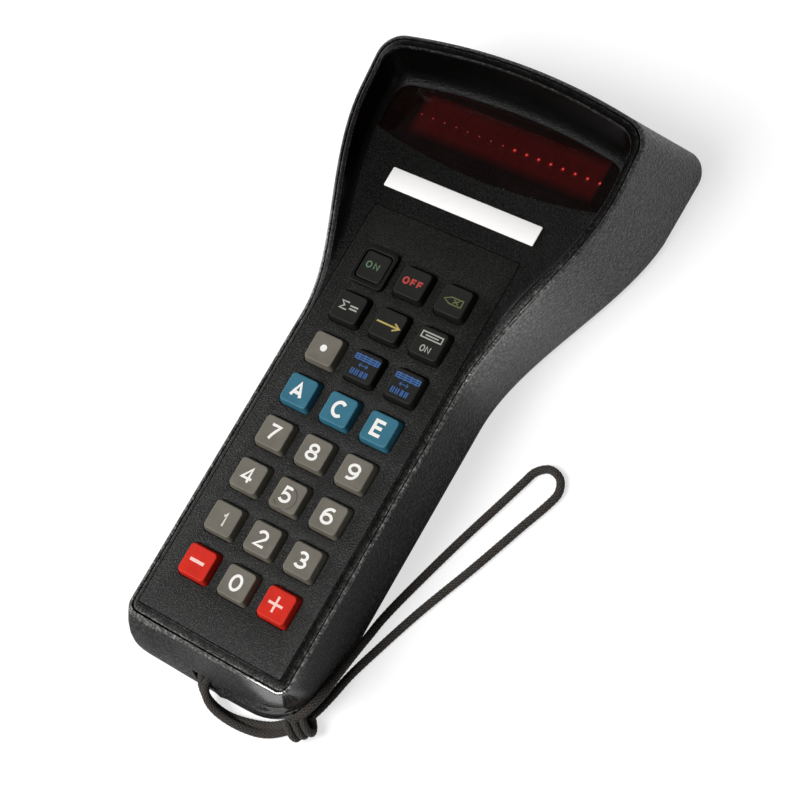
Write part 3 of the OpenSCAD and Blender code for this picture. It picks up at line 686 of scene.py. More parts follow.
def led_plastic(name, tone, glow, edge_shade=None):
    """Red resin of the LED modules, with a faint painted glow so that it shows under the lens. The last
    argument gives the half width, the middle's y and the half depth past which it is darkened as painted
    shade, in mm."""
    f = Finish(name, Roughness=0.42, Specular_IOR_Level=0.2, Emission_Strength=glow)
    body = f.blend(f.spread(f.noise(2.5), 0.35, 0.65), darker(tone, 0.7), tone)
    shine = tone
    if edge_shade:
        # Painted shade past the edges of the row of modules
        half_w, middle_y, half_d = edge_shade
        place = f.node("SeparateXYZ", {"Vector": f.place}).outputs
        x = f.math("ABSOLUTE", place["X"])
        y = f.math("ABSOLUTE", f.math("SUBTRACT", place["Y"], middle_y * MM))
        share = f.times(
            f.spread(x, (half_w - 3) * MM, (half_w + 0.5) * MM, 1, 0.25),
            f.spread(y, (half_d - 2.8) * MM, half_d * MM, 1, 0.3),
        )
        body = f.blend(share, BLACK, body)
        shine = f.blend(share, BLACK, tone)
    f.set("Base Color", body)
    # Painted glow
    f.set("Emission Color", shine)
    f.set("Normal", f.bump(f.noise(0.6), 0.01))
    return f.material


def braided_yarn(name, tone):
    """Black yarn, brown where it has faded, with painted light and shade: its strands' crowns lighter and
    the valleys between them darker.
    """
    f = Finish(name, Roughness=0.85, Sheen_Weight=0.12, Sheen_Roughness=0.5, Specular_IOR_Level=0.2)
    strand = f.attribute("wear")
    # Painted light and shade: crowns of the strands lighter, valleys between them darker
    base = f.blend(f.spread(strand, 0.25, 0.95), darker(tone, 0.12), darker(tone, 2.6))
    faded, brown = f.spread(f.noise(9.0), 0.5, 0.7, 0.0, 0.4), (0.045, 0.025, 0.018)
    f.set("Base Color", f.blend(faded, base, brown))
    f.set("Normal", f.bump(f.noise(0.16), 0.05))
    return f.material


def flat_cable(name, tone):
    """Grey flat cable, its cores showing as ridges along it."""
    f = Finish(name, Roughness=0.5)
    wave = {"Vector": f.place, "Scale": 125.0, "Distortion": 0.0}
    cores = f.node("TexWave", wave, bands_direction="X").outputs["Fac"]
    f.set("Base Color", f.blend(cores, darker(tone, 0.6), tone))
    f.set("Normal", f.bump(cores, 0.12, f.bump(f.noise(0.3), 0.01)))
    return f.material


def cell_wrap(name, dark, light, band_y):
    """Shrink sleeve of a battery cell: slate blue, with a plain pale band at its button end."""
    f = Finish(name, Roughness=0.28, Coat_Weight=0.3)
    tone = f.blend(f.spread(f.noise(6.0), 0.35, 0.65), dark, darker(dark, 1.4))
    f.set("Base Color", f.blend(f.along("Y", band_y - 0.2, band_y), tone, light))
    f.set("Normal", f.bump(f.noise(2.5, detail=4.0), 0.03))
    return f.material


def bare_label(name, tone):
    """White plastic label, grey in patches of dirt and darker along its edges."""
    f = Finish(name, Roughness=0.45)
    greying = f.times(f.spread(f.noise(3.5, detail=6.0), 0.55, 0.75), 0.12)
    greying = f.math("ADD", greying, f.times(f.attribute("wear"), 0.5))
    f.set("Base Color", f.blend(greying, tone, darker(tone, 0.72)))
    f.set("Normal", f.bump(f.noise(0.5), 0.006))
    return f.material


# ---- Outline of the shells ------------------------------------------------------------------------

# Where the handle starts to widen and over what length, at the top edge and at the back
NECK_START, NECK_LEN = 2.0, 75.0
BASE_NECK_START, BASE_NECK_LEN = -1.0, 84.0
# Where the rim leaves the level, and half the length that it takes to reach its slope
RIM_START, RIM_SOFT = 14.4, 10.0
# How far the rim lies below the face, and the thickness of the face
RIM_DROP, FACE_T = 1.3, 2.6
# Round of the back's edge, wall, width of the rim's edge, seam, skirt and inside of the back
BASE_R = 3.0
WALL, EDGE_W, SEAM = 2.4, 1.1, 0.3
SKIRT_H = 3.6
INNER_Z = 2.6
# Radii of the corners, the foot's on the right and on the left, and how far the foot bows out
FOOT_R = (4.0, 4.0)
BASE_FOOT_R = (20.0, 4.5)
HEAD_R = 9.0
FOOT_BOW = 0.2
# The points along a half outline: on the foot, each corner, the side and the head end
FOOT_COUNT, CORNER_COUNT, SIDE_COUNT, END_COUNT = 10, 14, 96, 17
SIDE_LOW_Y, SIDE_HIGH_Y = -90.0, 78.0
# Where the distance inside the outline changes from the handle's to the head's
INS_START, INS_LEN = 11.0, 26.0
# The wall stands fuller under the edge of the foot, from right to left
FULL_START, FULL_LEN, FULL_POWER = -8.0, 14.0, 4
# The lip: its left end, how far it reaches from the foot, its right end and what it takes to fade
LIP_LEFT_X, LIP_Y = -3.0, -92.0
LIP_RIGHT_X, LIP_FADE = 31.0, 4.0
# Pale floor that keeps the part's shadow. It is white to the camera; gloss sees it with painted shade close
# by and brighter further off.
CREST_LOW_Z, CREST_HIGH_Z, CREST_RUN = 5.0, 11.0, 28.0
CREST_OUT, CREST_BELOW, CREST_SOFT = 0.9, 0.4, 1.5
# The hollow above the crest: its depth, its height over the crest and its softness
HOLLOW_IN, HOLLOW_ABOVE, HOLLOW_SOFT = 1.1, 1.9, 1.3


class Shell:
    """The outline that both shells share, with points that match from ring to ring."""

    def __init__(self, settings):
        self.s = settings
        self.rear_rim_z = settings.face_z - RIM_DROP
        self.floor_z = settings.face_z - FACE_T
        self.edge = self.top(0)
        self.rim = self.rim_z(self.edge[:, 1])

    def half_w(self, y, k):
        s = self.s
        if k < 0.5:
            return mix(s.handle_w, s.head_w, ease((y - NECK_START) / NECK_LEN)) / 2
        return mix(s.handle_base_w, s.head_base_w, ease((y - BASE_NECK_START) / BASE_NECK_LEN)) / 2

    def rim_z(self, y):
        """Level along the handle, then rising towards the head end."""
        t = np.minimum(y, self.s.head_top) - RIM_START
        soft = self.s.rim_slope * (t + RIM_SOFT) ** 2 / (4 * RIM_SOFT)
        rise = np.where(t < RIM_SOFT, soft, self.s.rim_slope * t)
        return self.rear_rim_z + np.where(t < -RIM_SOFT, 0.0, rise)

    def half(self, k, ins, foot_r, head_r):
        """Right half of the outline, from the foot's middle to the head end's middle."""
        s = self.s
        yf = ins[2] - mix(s.foot_top, s.foot_base, k)
        yh = mix(s.head_top, s.head_base, k) - ins[3]
        bow = mix(s.end_bow_r, s.base_bow_r, k) - ins[3]
        wf = self.half_w(yf + foot_r, k) - ins[0]
        wh = self.half_w(s.head_top, k) - ins[1]
        yc = yh - bow + math.sqrt((bow - head_r) ** 2 - (wh - head_r) ** 2)
        turn = math.atan2(yc - yh + bow, wh - head_r)
        foot_x = np.linspace(0, wf - foot_r, FOOT_COUNT)[:-1]
        foot = np.column_stack([foot_x, yf - FOOT_BOW * (1 - (foot_x / (wf - foot_r)) ** 2)])
        a = np.radians(np.linspace(0, 90, CORNER_COUNT))
        foot_arc = np.column_stack([wf - foot_r + foot_r * np.sin(a), yf + foot_r - foot_r * np.cos(a)])
        y = np.linspace(SIDE_LOW_Y, SIDE_HIGH_Y, SIDE_COUNT)
        inside = mix(ins[0], ins[1], ease((y - INS_START) / INS_LEN))
        side = np.column_stack([self.half_w(y, k) - inside, y])
        a = turn * np.linspace(0, 1, CORNER_COUNT)
        head_arc = np.column_stack([wh - head_r + head_r * np.cos(a), yc + head_r * np.sin(a)])
        a = np.linspace(turn, math.pi / 2, END_COUNT)[1:]
        end = np.column_stack([bow * np.cos(a), yh - bow + bow * np.sin(a)])
        return np.vstack([foot, foot_arc, side, head_arc, end])

    def outline(self, k, ins, foot_rs, head_r):
        """The outline at the top edge (k = 0) or the back (k = 1). ins holds the distances inside it
        along the handle, the head's sides, the foot and the head end; foot_rs the foot's radii."""
        right, left = (self.half(k, ins, r, head_r) for r in foot_rs)
        return np.vstack([right, left[-2:0:-1] * (-1, 1)])

    def top(self, d):
        return self.outline(0, (d,) * 4, [max(r - d, 0.6) for r in FOOT_R], HEAD_R - d / 2)

    def base(self, d):
        return self.outline(1, (d,) * 4, [max(r - d, 1) for r in BASE_FOOT_R], HEAD_R - d / 2)

    def wall(self, d, z):
        """A ring on the wall that runs from the top edge to the back, d inside it. It stands fuller
        under the edge at the left foot corner."""
        z = np.broadcast_to(z, self.rim.shape)
        k = np.clip((self.rim - z) / (self.rim - BASE_R), 0, 1)
        x, y = self.edge.T
        full = np.where(y < 0, np.clip((FULL_START - x) / FULL_LEN, 0, 1), 0.0)
        k_foot = mix(k, 1 - (1 - k) ** FULL_POWER, full)
        return at_height(mix(self.top(d), self.base(d), np.column_stack([k, k_foot])), z)

    def lip(self, z):
        """A ring at height z that follows the raised lip round the right foot corner."""
        x, y = self.edge.T
        share = np.clip((LIP_RIGHT_X - x) / LIP_FADE, 0, 1)
        share = np.where((x > LIP_LEFT_X) & (y < LIP_Y), share, 0.0)
        above = z - mix(CREST_LOW_Z, CREST_HIGH_Z, np.clip(x / CREST_RUN, 0, 1))
        crest = CREST_OUT * hump((above + CREST_BELOW) / CREST_SOFT)
        out = share * (crest - HOLLOW_IN * hump((above - HOLLOW_ABOVE) / HOLLOW_SOFT))
        flush, proud = self.wall(0, z), self.wall(1, z)
        return flush + (flush - proud) * out[:, None]

    def level(self, ins, z, foot_r, head_r):
        return at_height(self.outline(0, ins, (foot_r, foot_r), head_r), z)

    def even(self, d, drop_z, foot_r, head_r):
        """A ring of the front shell, d inside the edge and drop_z below the rim."""
        return self.level((d,) * 4, self.rim - drop_z, foot_r, head_r)


# Lighter colour along the seam, partly wear and partly a painted highlight: full on the handle, this share
# on the head, and where it changes
HEAD_WEAR_GLINT, WEAR_GLINT_START, WEAR_GLINT_LEN = 0.2, 30, 30
# Radius of the rounded top edge on the handle and on the neck, and where it changes
EDGE_R, NECK_EDGE_R, EDGE_R_START, EDGE_R_LEN = 0.55, 0.95, -5, 25
# Where the neck's edge and wall are rubbed, and a painted highlight lightens the wall: more and more over
# the first length, then less and less from the end on, over the last. How polished the edge is there and
# how much lighter the wall is painted, over what height that fades, and by which power
NECK_RISE, NECK_END, NECK_FALL = 10, 28, 18
NECK_POLISH, NECK_WEAR_GLINT, NECK_GLINT_H, NECK_GLINT_POWER = 0.8, 0.9, 20, 1.5
# The corner that is polished bare: where it starts in x and y, and over what lengths
BARE_X, BARE_X_LEN, BARE_Y, BARE_Y_LEN = 14, 6, -98, 4
# How worn the round of the top edge is, which also paints its highlight
TOP_WORN_GLINT = 0.8
# Heights of the lip's rings, and the height above which three more reach the rim
LIP_RINGS_Z = np.arange(3.5, 18.1, 0.5)
LIP_TOP_Z = 18.0


def seam_wear_glint(y):
    """Share of the lighter colour along the seam, partly wear and partly a painted highlight: full on the
    handle, little on the head.
    """
    return mix(1.0, HEAD_WEAR_GLINT, ease((y - WEAR_GLINT_START) / WEAR_GLINT_LEN))


def rear_shell_solid(shell):
    """The tub: rounded back, ruled walls with the lip, top edge, groove and inside."""
    rim = shell.rim
    rings, wear, polish = [], [], []

    def ring(points, worn_glint=0.0, outside=False):
        """Keeps a ring, with its wear, painted highlight and polish. Hands only rub what is outside, and
        the neck's highlight is only painted there.
        """
        x, y, z = points.T
        bare = np.clip((x - BARE_X) / BARE_X_LEN, 0, 1) * np.clip((BARE_Y - y) / BARE_Y_LEN, 0, 1)
        neck = ease(y / NECK_RISE) * (1 - ease((y - NECK_END) / NECK_FALL))
        # Painted highlight, partly wear, on the neck's wall: it fades down from the rim
        neck_wear_glint = NECK_WEAR_GLINT * neck * np.clip(1 - (rim - z) / NECK_GLINT_H, 0, 1) ** NECK_GLINT_POWER
        rings.append(points)
        wear.append(np.maximum(worn_glint * seam_wear_glint(y), neck_wear_glint if outside else 0.0))
        polish.append(np.maximum(bare, NECK_POLISH * neck if worn_glint >= TOP_WORN_GLINT else 0.0))

    for a in np.radians(np.arange(0, 91, 15)):
        ring(shell.wall(BASE_R * (1 - math.sin(a)), BASE_R * (1 - math.cos(a))), 0.05, True)
    for z in LIP_RINGS_Z:
        ring(shell.lip(z), outside=True)
    for share in (0.35, 0.7, 1.0):
        ring(shell.wall(0, mix(LIP_TOP_Z, rim - 1.0, share)), outside=True)
    round_r = mix(EDGE_R, NECK_EDGE_R, ease((shell.edge[:, 1] - EDGE_R_START) / EDGE_R_LEN))
    inward = shell.wall(1, rim) - shell.wall(0, rim)
    for a in np.radians((0, 25, 50, 75)):
        flush = shell.wall(0, rim - round_r * (1 - math.sin(a)))
        ring(flush + inward * (round_r * (1 - math.cos(a)))[:, None], TOP_WORN_GLINT, True)
    ring(shell.wall(EDGE_W - 0.25, rim), 0.9)
    ring(shell.wall(EDGE_W, rim - 0.25), 0.6)
    ring(shell.wall(EDGE_W, rim - SKIRT_H - 0.1))
    ring(shell.wall(WALL, rim - SKIRT_H - 0.3))
    ring(shell.wall(WALL, INNER_Z))
    return Solid().loft(rings, wear, polish)


# How far the rim's band and the foot of the cove lie inside the edge: along the handle, the head's
# sides, the foot and the head end
BAND = (3.3, 3.3, 4.0, 3.9)
FLOOR_INS = (3.6, 7.1, 4.3, 10.75)
# The cove's hollow: its power, and the share of a straight lean in it
COVE_POWER, COVE_LEAN = 2.33, 0.26
# Its rings, from the crest down to the face, as (share of the way, polish)
COVE_RINGS = (
    (0.0, 0.8), (0.05, 0.8), (0.12, 0.8), (0.22, 0.8), (0.34, 0.8), (0.46, 0.8),
    (0.58, 0.6), (0.7, 0.5), (0.82, 0.4), (0.92, 0.3), (1.0, 0.0),
)  # fmt: skip
# The band and the cove are polished less on the handle, to this share, and where that changes
HANDLE_POLISH, POLISH_START, POLISH_LEN = 0.3, 10, 30
# The crest's lighter colour, a painted highlight
CREST_GLINT = 0.35


def front_shell_solid(shell):
    """The keypad face, the rim's band and the hood's cove, with the skirt that sits in the tub."""
    face_z, rim = shell.s.face_z, shell.rim
    crest = np.maximum(face_z, rim + 0.2)
    groove = EDGE_W + SEAM
    band, foot = np.array(BAND), np.array(FLOOR_INS)
    rings, wear, polish = [], [], []

    def ring(points, worn_glint=0.0, shine=0.0):
        """Keeps a ring, with its wear, painted highlight and polish."""
        y = points[:, 1]
        rings.append(points)
        wear.append(worn_glint * seam_wear_glint(y))
        polish.append(shine * mix(HANDLE_POLISH, 1.0, ease((y - POLISH_START) / POLISH_LEN)))

    ring(shell.level((2.9, 4.6, 3.4, 8.2), shell.floor_z, 1.4, 6))
    ring(shell.even(groove + 1.1, SKIRT_H, 1.8, 8))
    ring(shell.even(groove, SKIRT_H, 2.6, 8.4))
    # From here to the crest the band's edges are lighter: partly wear, partly a painted highlight
    ring(shell.even(groove, 0.6, 2.6, 8.4), 0.3)
    ring(shell.even(groove + 0.08, 0.3, 2.55, 8.4), 0.9, 0.8)
    ring(shell.even(groove + 0.3, 0.1, 2.45, 8.3), 1.0, 0.8)
    for share in (0.12, 0.3, 0.5, 0.7, 0.88):
        height = mix(rim - 0.1, crest, share**0.9)
        ins = mix(np.full(4, groove + 0.3), band, share)
        points = shell.level(ins, height, mix(2.4, 1.2, share), mix(8.3, 7.2, share))
        ring(points, 0.5 * (1 - share) ** 2, 0.8)
    for run, shine in COVE_RINGS:
        height = mix(face_z, crest, mix((1 - run) ** COVE_POWER, 1 - run, COVE_LEAN))
        ring(shell.level(mix(band, foot, run), height, 1.2, mix(7.2, 5.4, run)), 0.0, shine)
        # The crest's ring carries the painted highlight in full
        if run == 0:
            wear[-1] = CREST_GLINT
    return Solid().loft(rings, wear, polish)


# ---- Pieces ------------------------------------------------------------------------------------------

# The cord's route: out of the notch, through the knot, to the tip of the loop and back
CORD_ROUTE = (
    (-7.5, -107.05, 8.5), (-7.2, -109.6, 7.9), (-5.9, -112.4, 6.2), (-3, -114.8, 3.8),
    (1.2, -115.9, 2), (6.5, -115.8, 1.4), (12.8, -114.4, 1.4), (18.2, -112.5, 1.8),
    (22.7, -110.2, 3.9), (27, -106.9, 7), (30.3, -102.4, 9.2), (32.2, -96.6, 9.7),
    (32.4, -89, 7.6), (32.4, -80.4, 4.6), (32.6, -73.5, 2.2), (33.4, -67.2, 1.4),
    (36.2, -57, 1.4), (42.4, -37.2, 1.4), (49.2, -17.6, 1.4), (51.8, -10, 1.4),
    (53.6, -5.4, 1.4), (57.3, -2.8, 1.4), (61.6, -4, 1.4), (63.5, -8.2, 1.4),
    (62.2, -13.4, 1.4), (58.7, -22, 1.4), (51.4, -40.4, 1.4), (42.8, -60.6, 1.4),
    (36.4, -78, 1.4), (33.4, -87.6, 1.8), (32, -95.6, 2.8), (29.7, -102.4, 2.2),
    (26.6, -108, 1.4), (22.8, -112.4, 1.4), (17.6, -115.6, 1.5), (11.2, -117.1, 2.7),
    (4.6, -117.2, 4.4), (-0.8, -115.8, 6.2), (-4, -112.4, 8), (-4.5, -107.05, 8.5),
)  # fmt: skip
# The knot: its middle, its turn about the vertical, how wide it winds and how often
KNOT_AT = (28.9, -108.1, 4.3)
KNOT_TURN = 46.0
KNOT_HALF_W, KNOT_R, KNOT_TURNS = 3.7, 2.72, 3.0
# Its cord is pulled thin, to this share, and turns by so many degrees from ring to ring
KNOT_THIN, KNOT_STEP = 0.92, 4
# Distances between the rings of the cord and between the points that it is declared by, and its
# sides
CORD_STEP, ROUTE_STEP, CORD_SIDES = 0.25, 2.0, 24
# Strands round the braid in each direction, and how deep their valleys are
STRANDS, BRAID_DEPTH = 4, 0.18


def tube(path, radius, sides, braid=None):
    """A tube along a dense path. braid gives the length of a cell where its surface is a braid."""
    tangent = np.gradient(path, axis=0)
    tangent /= np.linalg.norm(tangent, axis=1)[:, None]
    side = np.cross(tangent[0], (0.0, 0.0, 1.0))
    run = np.concatenate([[0], np.cumsum(np.linalg.norm(np.diff(path, axis=0), axis=1))])
    angles = np.arange(sides) * 2 * math.pi / sides
    rings, relief = [], []
    for middle, t, s in zip(path, tangent, run):
        side = side - t * (side @ t)
        side /= np.linalg.norm(side)
        up = np.cross(t, side)
        strand = np.ones(sides)
        if braid:
            turn = math.pi * s / braid
            strand = np.sin(STRANDS * angles + turn) * np.sin(STRANDS * angles - turn)
            strand = np.sqrt(np.abs(strand))
        r = radius * (1 - BRAID_DEPTH + BRAID_DEPTH * strand)
        round_it = np.outer(np.cos(angles), side) + np.outer(np.sin(angles), up)
        rings.append(middle + r[:, None] * round_it)
        relief.append(strand)
    return Solid().loft(rings, relief)


class TERMINAL_OT_camera(bpy.types.Operator):
    """Sets the camera"""

    bl_idname = "terminal.camera"
    bl_label = "Camera"

    def execute(self, context):
        camera = bpy.data.cameras.new("camera")
        camera.lens = CAMERA_LENS
        camera.sensor_width = CAMERA_SENSOR
        camera.clip_start, camera.clip_end = CAMERA_CLIP
        obj = new_object("camera", camera)
        turn = Matrix((CAMERA_RIGHT, CAMERA_UP, CAMERA_BACK)).transposed()
        obj.matrix_world = Matrix.Translation(CAMERA_PLACE) @ turn.to_4x4()
        context.scene.camera = obj
        return {"FINISHED"}


class TERMINAL_OT_strap(bpy.types.Operator):
    """Makes the braided wrist cord and the knot that closes its loop"""

    bl_idname = "terminal.strap"
    bl_label = "Wrist strap"

    def execute(self, context):
        s = context.scene.terminal_strap
        radius = s.diameter / 2
        yarn = braided_yarn("braided_yarn", s.yarn)
        path = smooth_path(CORD_ROUTE, CORD_STEP)
        cord = tube(path, radius, CORD_SIDES, s.braid).piece("cord", ROUND_SHARP)
        finish(cord, "wrist_cord_braid", yarn, "wrist_cord")

        turns = np.radians(np.arange(0, KNOT_TURNS * 360, KNOT_STEP))
        across = np.linspace(-KNOT_HALF_W, KNOT_HALF_W, len(turns))
        wind = np.column_stack([across, KNOT_R * np.cos(turns), KNOT_R * np.sin(turns)])
        c, n = math.cos(math.radians(KNOT_TURN)), math.sin(math.radians(KNOT_TURN))
        wind = wind @ np.array([(c, n, 0), (-n, c, 0), (0, 0, 1)]) + np.array(KNOT_AT)
        knot = tube(wind, radius * KNOT_THIN, CORD_SIDES, s.braid).piece("knot", ROUND_SHARP)
        finish(knot, "wrist_cord_knot", yarn, "cord_knot")

        return {"FINISHED"}


# Where cutters start, below the back, and how far others reach past what they cut, and the key
# holes' past the face
BELOW, OVER, HOLE_OVER = -1.0, 1.0, 0.5
# The battery door's gaps at its sides, its free end and its hinge, and its hinge's knuckle
DOOR_SIDE_GAP, DOOR_END_GAP, DOOR_HINGE_GAP = 0.4, 0.2, 3.4
KNUCKLE_HALF_W, KNUCKLE_R, KNUCKLE_GAP, KNUCKLE_ROOM = 11.0, 1.7, 0.55, 4.0
# The hollow for a finger at its free end
FINGER_HALF_W, FINGER_IN, FINGER_OUT, FINGER_TOP = 6, 0.6, 4.6, 1.2


def door_cutters():
    """What the rear shell leaves out for the battery door, its hinge and its finger hollow."""
    low, high = node_box("battery_door")
    pin = node_centre("door_hinge_pin")
    reach = KNUCKLE_R + KNUCKLE_GAP
    half_w = KNUCKLE_HALF_W + DOOR_END_GAP
    out = Solid()
    out.box(
        (low[0] - DOOR_SIDE_GAP, pin[1] + DOOR_HINGE_GAP, BELOW),
        (high[0] + DOOR_SIDE_GAP, high[1] + DOOR_END_GAP, INNER_Z),
    )
    out.box((-half_w, pin[1] - reach, BELOW), (half_w, pin[1] + KNUCKLE_ROOM, pin[2] + reach))
    out.box((-FINGER_HALF_W, high[1] - FINGER_IN, BELOW), (FINGER_HALF_W, high[1] + FINGER_OUT, FINGER_TOP))
    return out


def screw_places():
    """Middle of each shell screw, [x, y], told apart by the CAD node's quarters."""
    points = np.array([v.co for v in frame["nodes"]["shell_screws"].data.vertices]) / MM
    places = []
    for sx in (-1, 1):
        for far in (False, True):
            near = points[(points[:, 0] * sx > 0) & ((points[:, 1] > 0) == far)]
            places.append((near[:, :2].min(0) + near[:, :2].max(0)) / 2)
    return places


# The bosses, the bay, the bridge and the ears grow from this height, in the thickness of the back
ROOT_Z = 1.5
# Screw bosses of both shells: their radii, the height where they meet, and how far the front
# shell's reach into its face
BOSS_R, POST_R, BOSS_TOP, POST_IN = 3.8, 3.4, 14.0, 0.5
# A screw's recess and hole: radii, the recess's depth and the hole's end
RECESS_R, HOLE_R, RECESS_H, HOLE_TOP = 3.1, 1.7, 1.9, 15.0
# Room round the cells, the bay's walls and roof, and the height that its hollow starts at. The
# bridge that carries the door's hinge: its half width, from and to where it reaches before the bay,
# and its top
BAY_LOW, BAY_HIGH, BAY_WALL, BAY_ROOF, BAY_Z = (1.0, 5.0, 0.0), (1.0, 0.6, 0.4), 1.4, 1.2, 2.5
BRIDGE_HALF_W, BRIDGE_LOW, BRIDGE_HIGH, BRIDGE_TOP = 15.2, 7.4, 1.0, 5.5
# The port's pocket, the frame round it and the opening for the socket
POCKET_LOW, POCKET_HIGH = (-17.0, 99.0, 6.0), (17.0, 119.0, 22.0)
POCKET_FRAME_LOW, POCKET_FRAME_HIGH = (-19.0, 97, 4), (19.0, 106, 24)
SOCKET_HALF_W, SOCKET_HALF_H, SOCKET_Y = 9.8, 5.6, (94, 100)
# The ears that hold the strap's pin, the pin's hole and the notch in the foot
EAR_X, EAR_HALF_W, EAR_HALF_D, EAR_TOP = 5.4, 1.5, 2.6, 12
PIN_R, PIN_HALF_W = 1.4, 6.0
NOTCH_HALF_W, NOTCH_IN, NOTCH_OUT, NOTCH_Z = 3.3, 1.0, 3.0, (5.4, 11.6)


class TERMINAL_OT_rear_shell(bpy.types.Operator):
    """Makes the rear shell with its bosses, battery bay, port pocket and strap notch"""

    bl_idname = "terminal.rear_shell"
    bl_label = "Rear shell"

    def execute(self, context):
        s = context.scene.terminal_shell
        bay_low, bay_high = node_box("battery_cells")
        bay_low, bay_high = bay_low - BAY_LOW, bay_high + BAY_HIGH
        socket, pin = node_centre("port_socket"), node_centre("strap_anchor")

        inside = Solid()
        for x, y in screw_places():
            inside.lathe(((BOSS_R, ROOT_Z), (BOSS_R, BOSS_TOP)), (x, y, 0))
        inside.box(
            (bay_low[0] - BAY_WALL, bay_low[1] - BAY_WALL, ROOT_Z),
            (bay_high[0] + BAY_WALL, bay_high[1] + BAY_WALL, bay_high[2] + BAY_ROOF),
        )
        inside.box(
            (-BRIDGE_HALF_W, bay_low[1] - BRIDGE_LOW, ROOT_Z),
            (BRIDGE_HALF_W, bay_low[1] - BRIDGE_HIGH, BRIDGE_TOP),
        )
        inside.box(POCKET_FRAME_LOW, POCKET_FRAME_HIGH)
        for side in (-1, 1):
            x, y = pin[0] + side * EAR_X, pin[1]
            inside.box((x - EAR_HALF_W, y - EAR_HALF_D, ROOT_Z), (x + EAR_HALF_W, y + EAR_HALF_D, EAR_TOP))
        piece = rear_shell_solid(Shell(s)).piece("rear")
        piece = combined(piece, inside.piece("inside"), "UNION")

        out = door_cutters()
        out.box((bay_low[0], bay_low[1], BAY_Z), bay_high)
        out.box(POCKET_LOW, POCKET_HIGH)
        out.box(
            (-SOCKET_HALF_W, SOCKET_Y[0], socket[2] - SOCKET_HALF_H),
            (SOCKET_HALF_W, SOCKET_Y[1], socket[2] + SOCKET_HALF_H),
        )
        out.box(
            (pin[0] - NOTCH_HALF_W, -s.foot_base - NOTCH_OUT, NOTCH_Z[0]),
            (pin[0] + NOTCH_HALF_W, pin[1] - NOTCH_IN, NOTCH_Z[1]),
        )
        out.lathe(((PIN_R, -PIN_HALF_W), (PIN_R, PIN_HALF_W)), pin, "x")
        for x, y in screw_places():
            recess = ((RECESS_R, BELOW), (RECESS_R, RECESS_H), (HOLE_R, RECESS_H), (HOLE_R, HOLE_TOP))
            out.lathe(recess, (x, y, 0))
        piece = combined(piece, out.piece("out"), "DIFFERENCE")
        black = grained_plastic(
            "shell_grain", s.black, s.rubbed_sparkle, s.worn_glint, s.grain, s.grain_depth, shine=0.9, coat=1.0, held=True
        )
        finish(piece, "rear_shell", black, "rear_housing")
        return {"FINISHED"}


KEY_NODES = sorted(n for n in frame["nodes"] if n.startswith("key_") and n != "key_mat")
ON_KEY = "key_on"
# The arc at the lens's foot: its middle, its radius and how many sides its full circle has. Radii of
# the corners of the outline that the lens is cut from, at the foot, which is cut away, and the head
LENS_MIDDLE_Y, LENS_R, ARC_SIDES = 257.9, 192.6, 720
LENS_LOW_R, LENS_HIGH_R = 1.2, 5.4
# Sizes of a keycap where it meets the face, and of the guarded one
KEY_SIZE, ON_KEY_SIZE = (11.2, 10.8), (9.6, 9.8)
# Gaps round a key in the face and in the panel, with the radii of the holes
FACE_HOLE, PANEL_HOLE = (0.4, 1.8), (0.3, 1.7)
# The panel's corners, its recess's gap and corners, and its bevel
PANEL_R, PANEL_GAP, PANEL_RECESS_R, PANEL_BEVEL = 0.8, 0.25, 0.9, 0.14
# The opening under the lens, how deep the lens sits in the face, and the height cut free over it
WINDOW_LOW, WINDOW_HIGH, WINDOW_SILL = (-36.8, 71.8), (36.8, 92.4), 1.0
LENS_SEAT, LENS_CUT = 1.4, 3.0
# The guard round the ON key, from its outer foot over the top to its inner foot: width, depth, corner,
# height over the panel's top, and the share of a lighter colour that paints highlights on its edges. Its
# feet have no such height: they stand at GUARD_FOOT over the face.
GUARD_FOOT = -0.3
GUARD = (
    (12.4, 13.2, 1.6, None, 0.0), (12.4, 13.2, 1.6, -0.22, 0.1),
    (12.22, 13.02, 1.5, -0.05, 0.7), (11.96, 12.76, 1.4, 0.0, 0.1),
    (10.6, 10.8, 1.8, 0.0, 0.1), (10.34, 10.54, 1.72, -0.06, 0.7),
    (10.2, 10.4, 1.7, -0.22, 0.1), (10.2, 10.4, 1.7, None, 0.0),
)  # fmt: skip


def key_size(node):
    """Width and depth of a keycap where it meets the face: the ON key is the small, guarded one."""
    return ON_KEY_SIZE if node == ON_KEY else KEY_SIZE


def key_holes(gap, r, low_z, high_z):
    """What is cut out for the keys to move in."""
    out = Solid()
    for node in KEY_NODES:
        w, d = key_size(node)
        out.prism(rounded_ring(w + 2 * gap, d + 2 * gap, r) + node_centre(node)[:2], low_z, high_z)
    return out


def sheet_ring(gap, r):
    """The outline of the keypad panel, a gap outside it."""
    low, high = node_box("keypad_panel")
    return rounded_ring(high[0] - low[0] + 2 * gap, high[1] - low[1] + 2 * gap, r) + (low + high)[:2] / 2


def lens_block(shell, inset, low_z, high_z):
    """The lens: the hood's foot above, a shallow arc below."""
    ins = [i + inset for i in FLOOR_INS]
    ring = shell.outline(0, ins, (LENS_LOW_R, LENS_LOW_R), LENS_HIGH_R - inset / 2)
    profile = ((LENS_R - inset, low_z - OVER), (LENS_R - inset, high_z + OVER))
    disc = Solid().lathe(profile, (0, LENS_MIDDLE_Y, 0), sides=ARC_SIDES)
    return combined(Solid().prism(ring, low_z, high_z).piece("lens"), disc.piece("disc"), "INTERSECT")


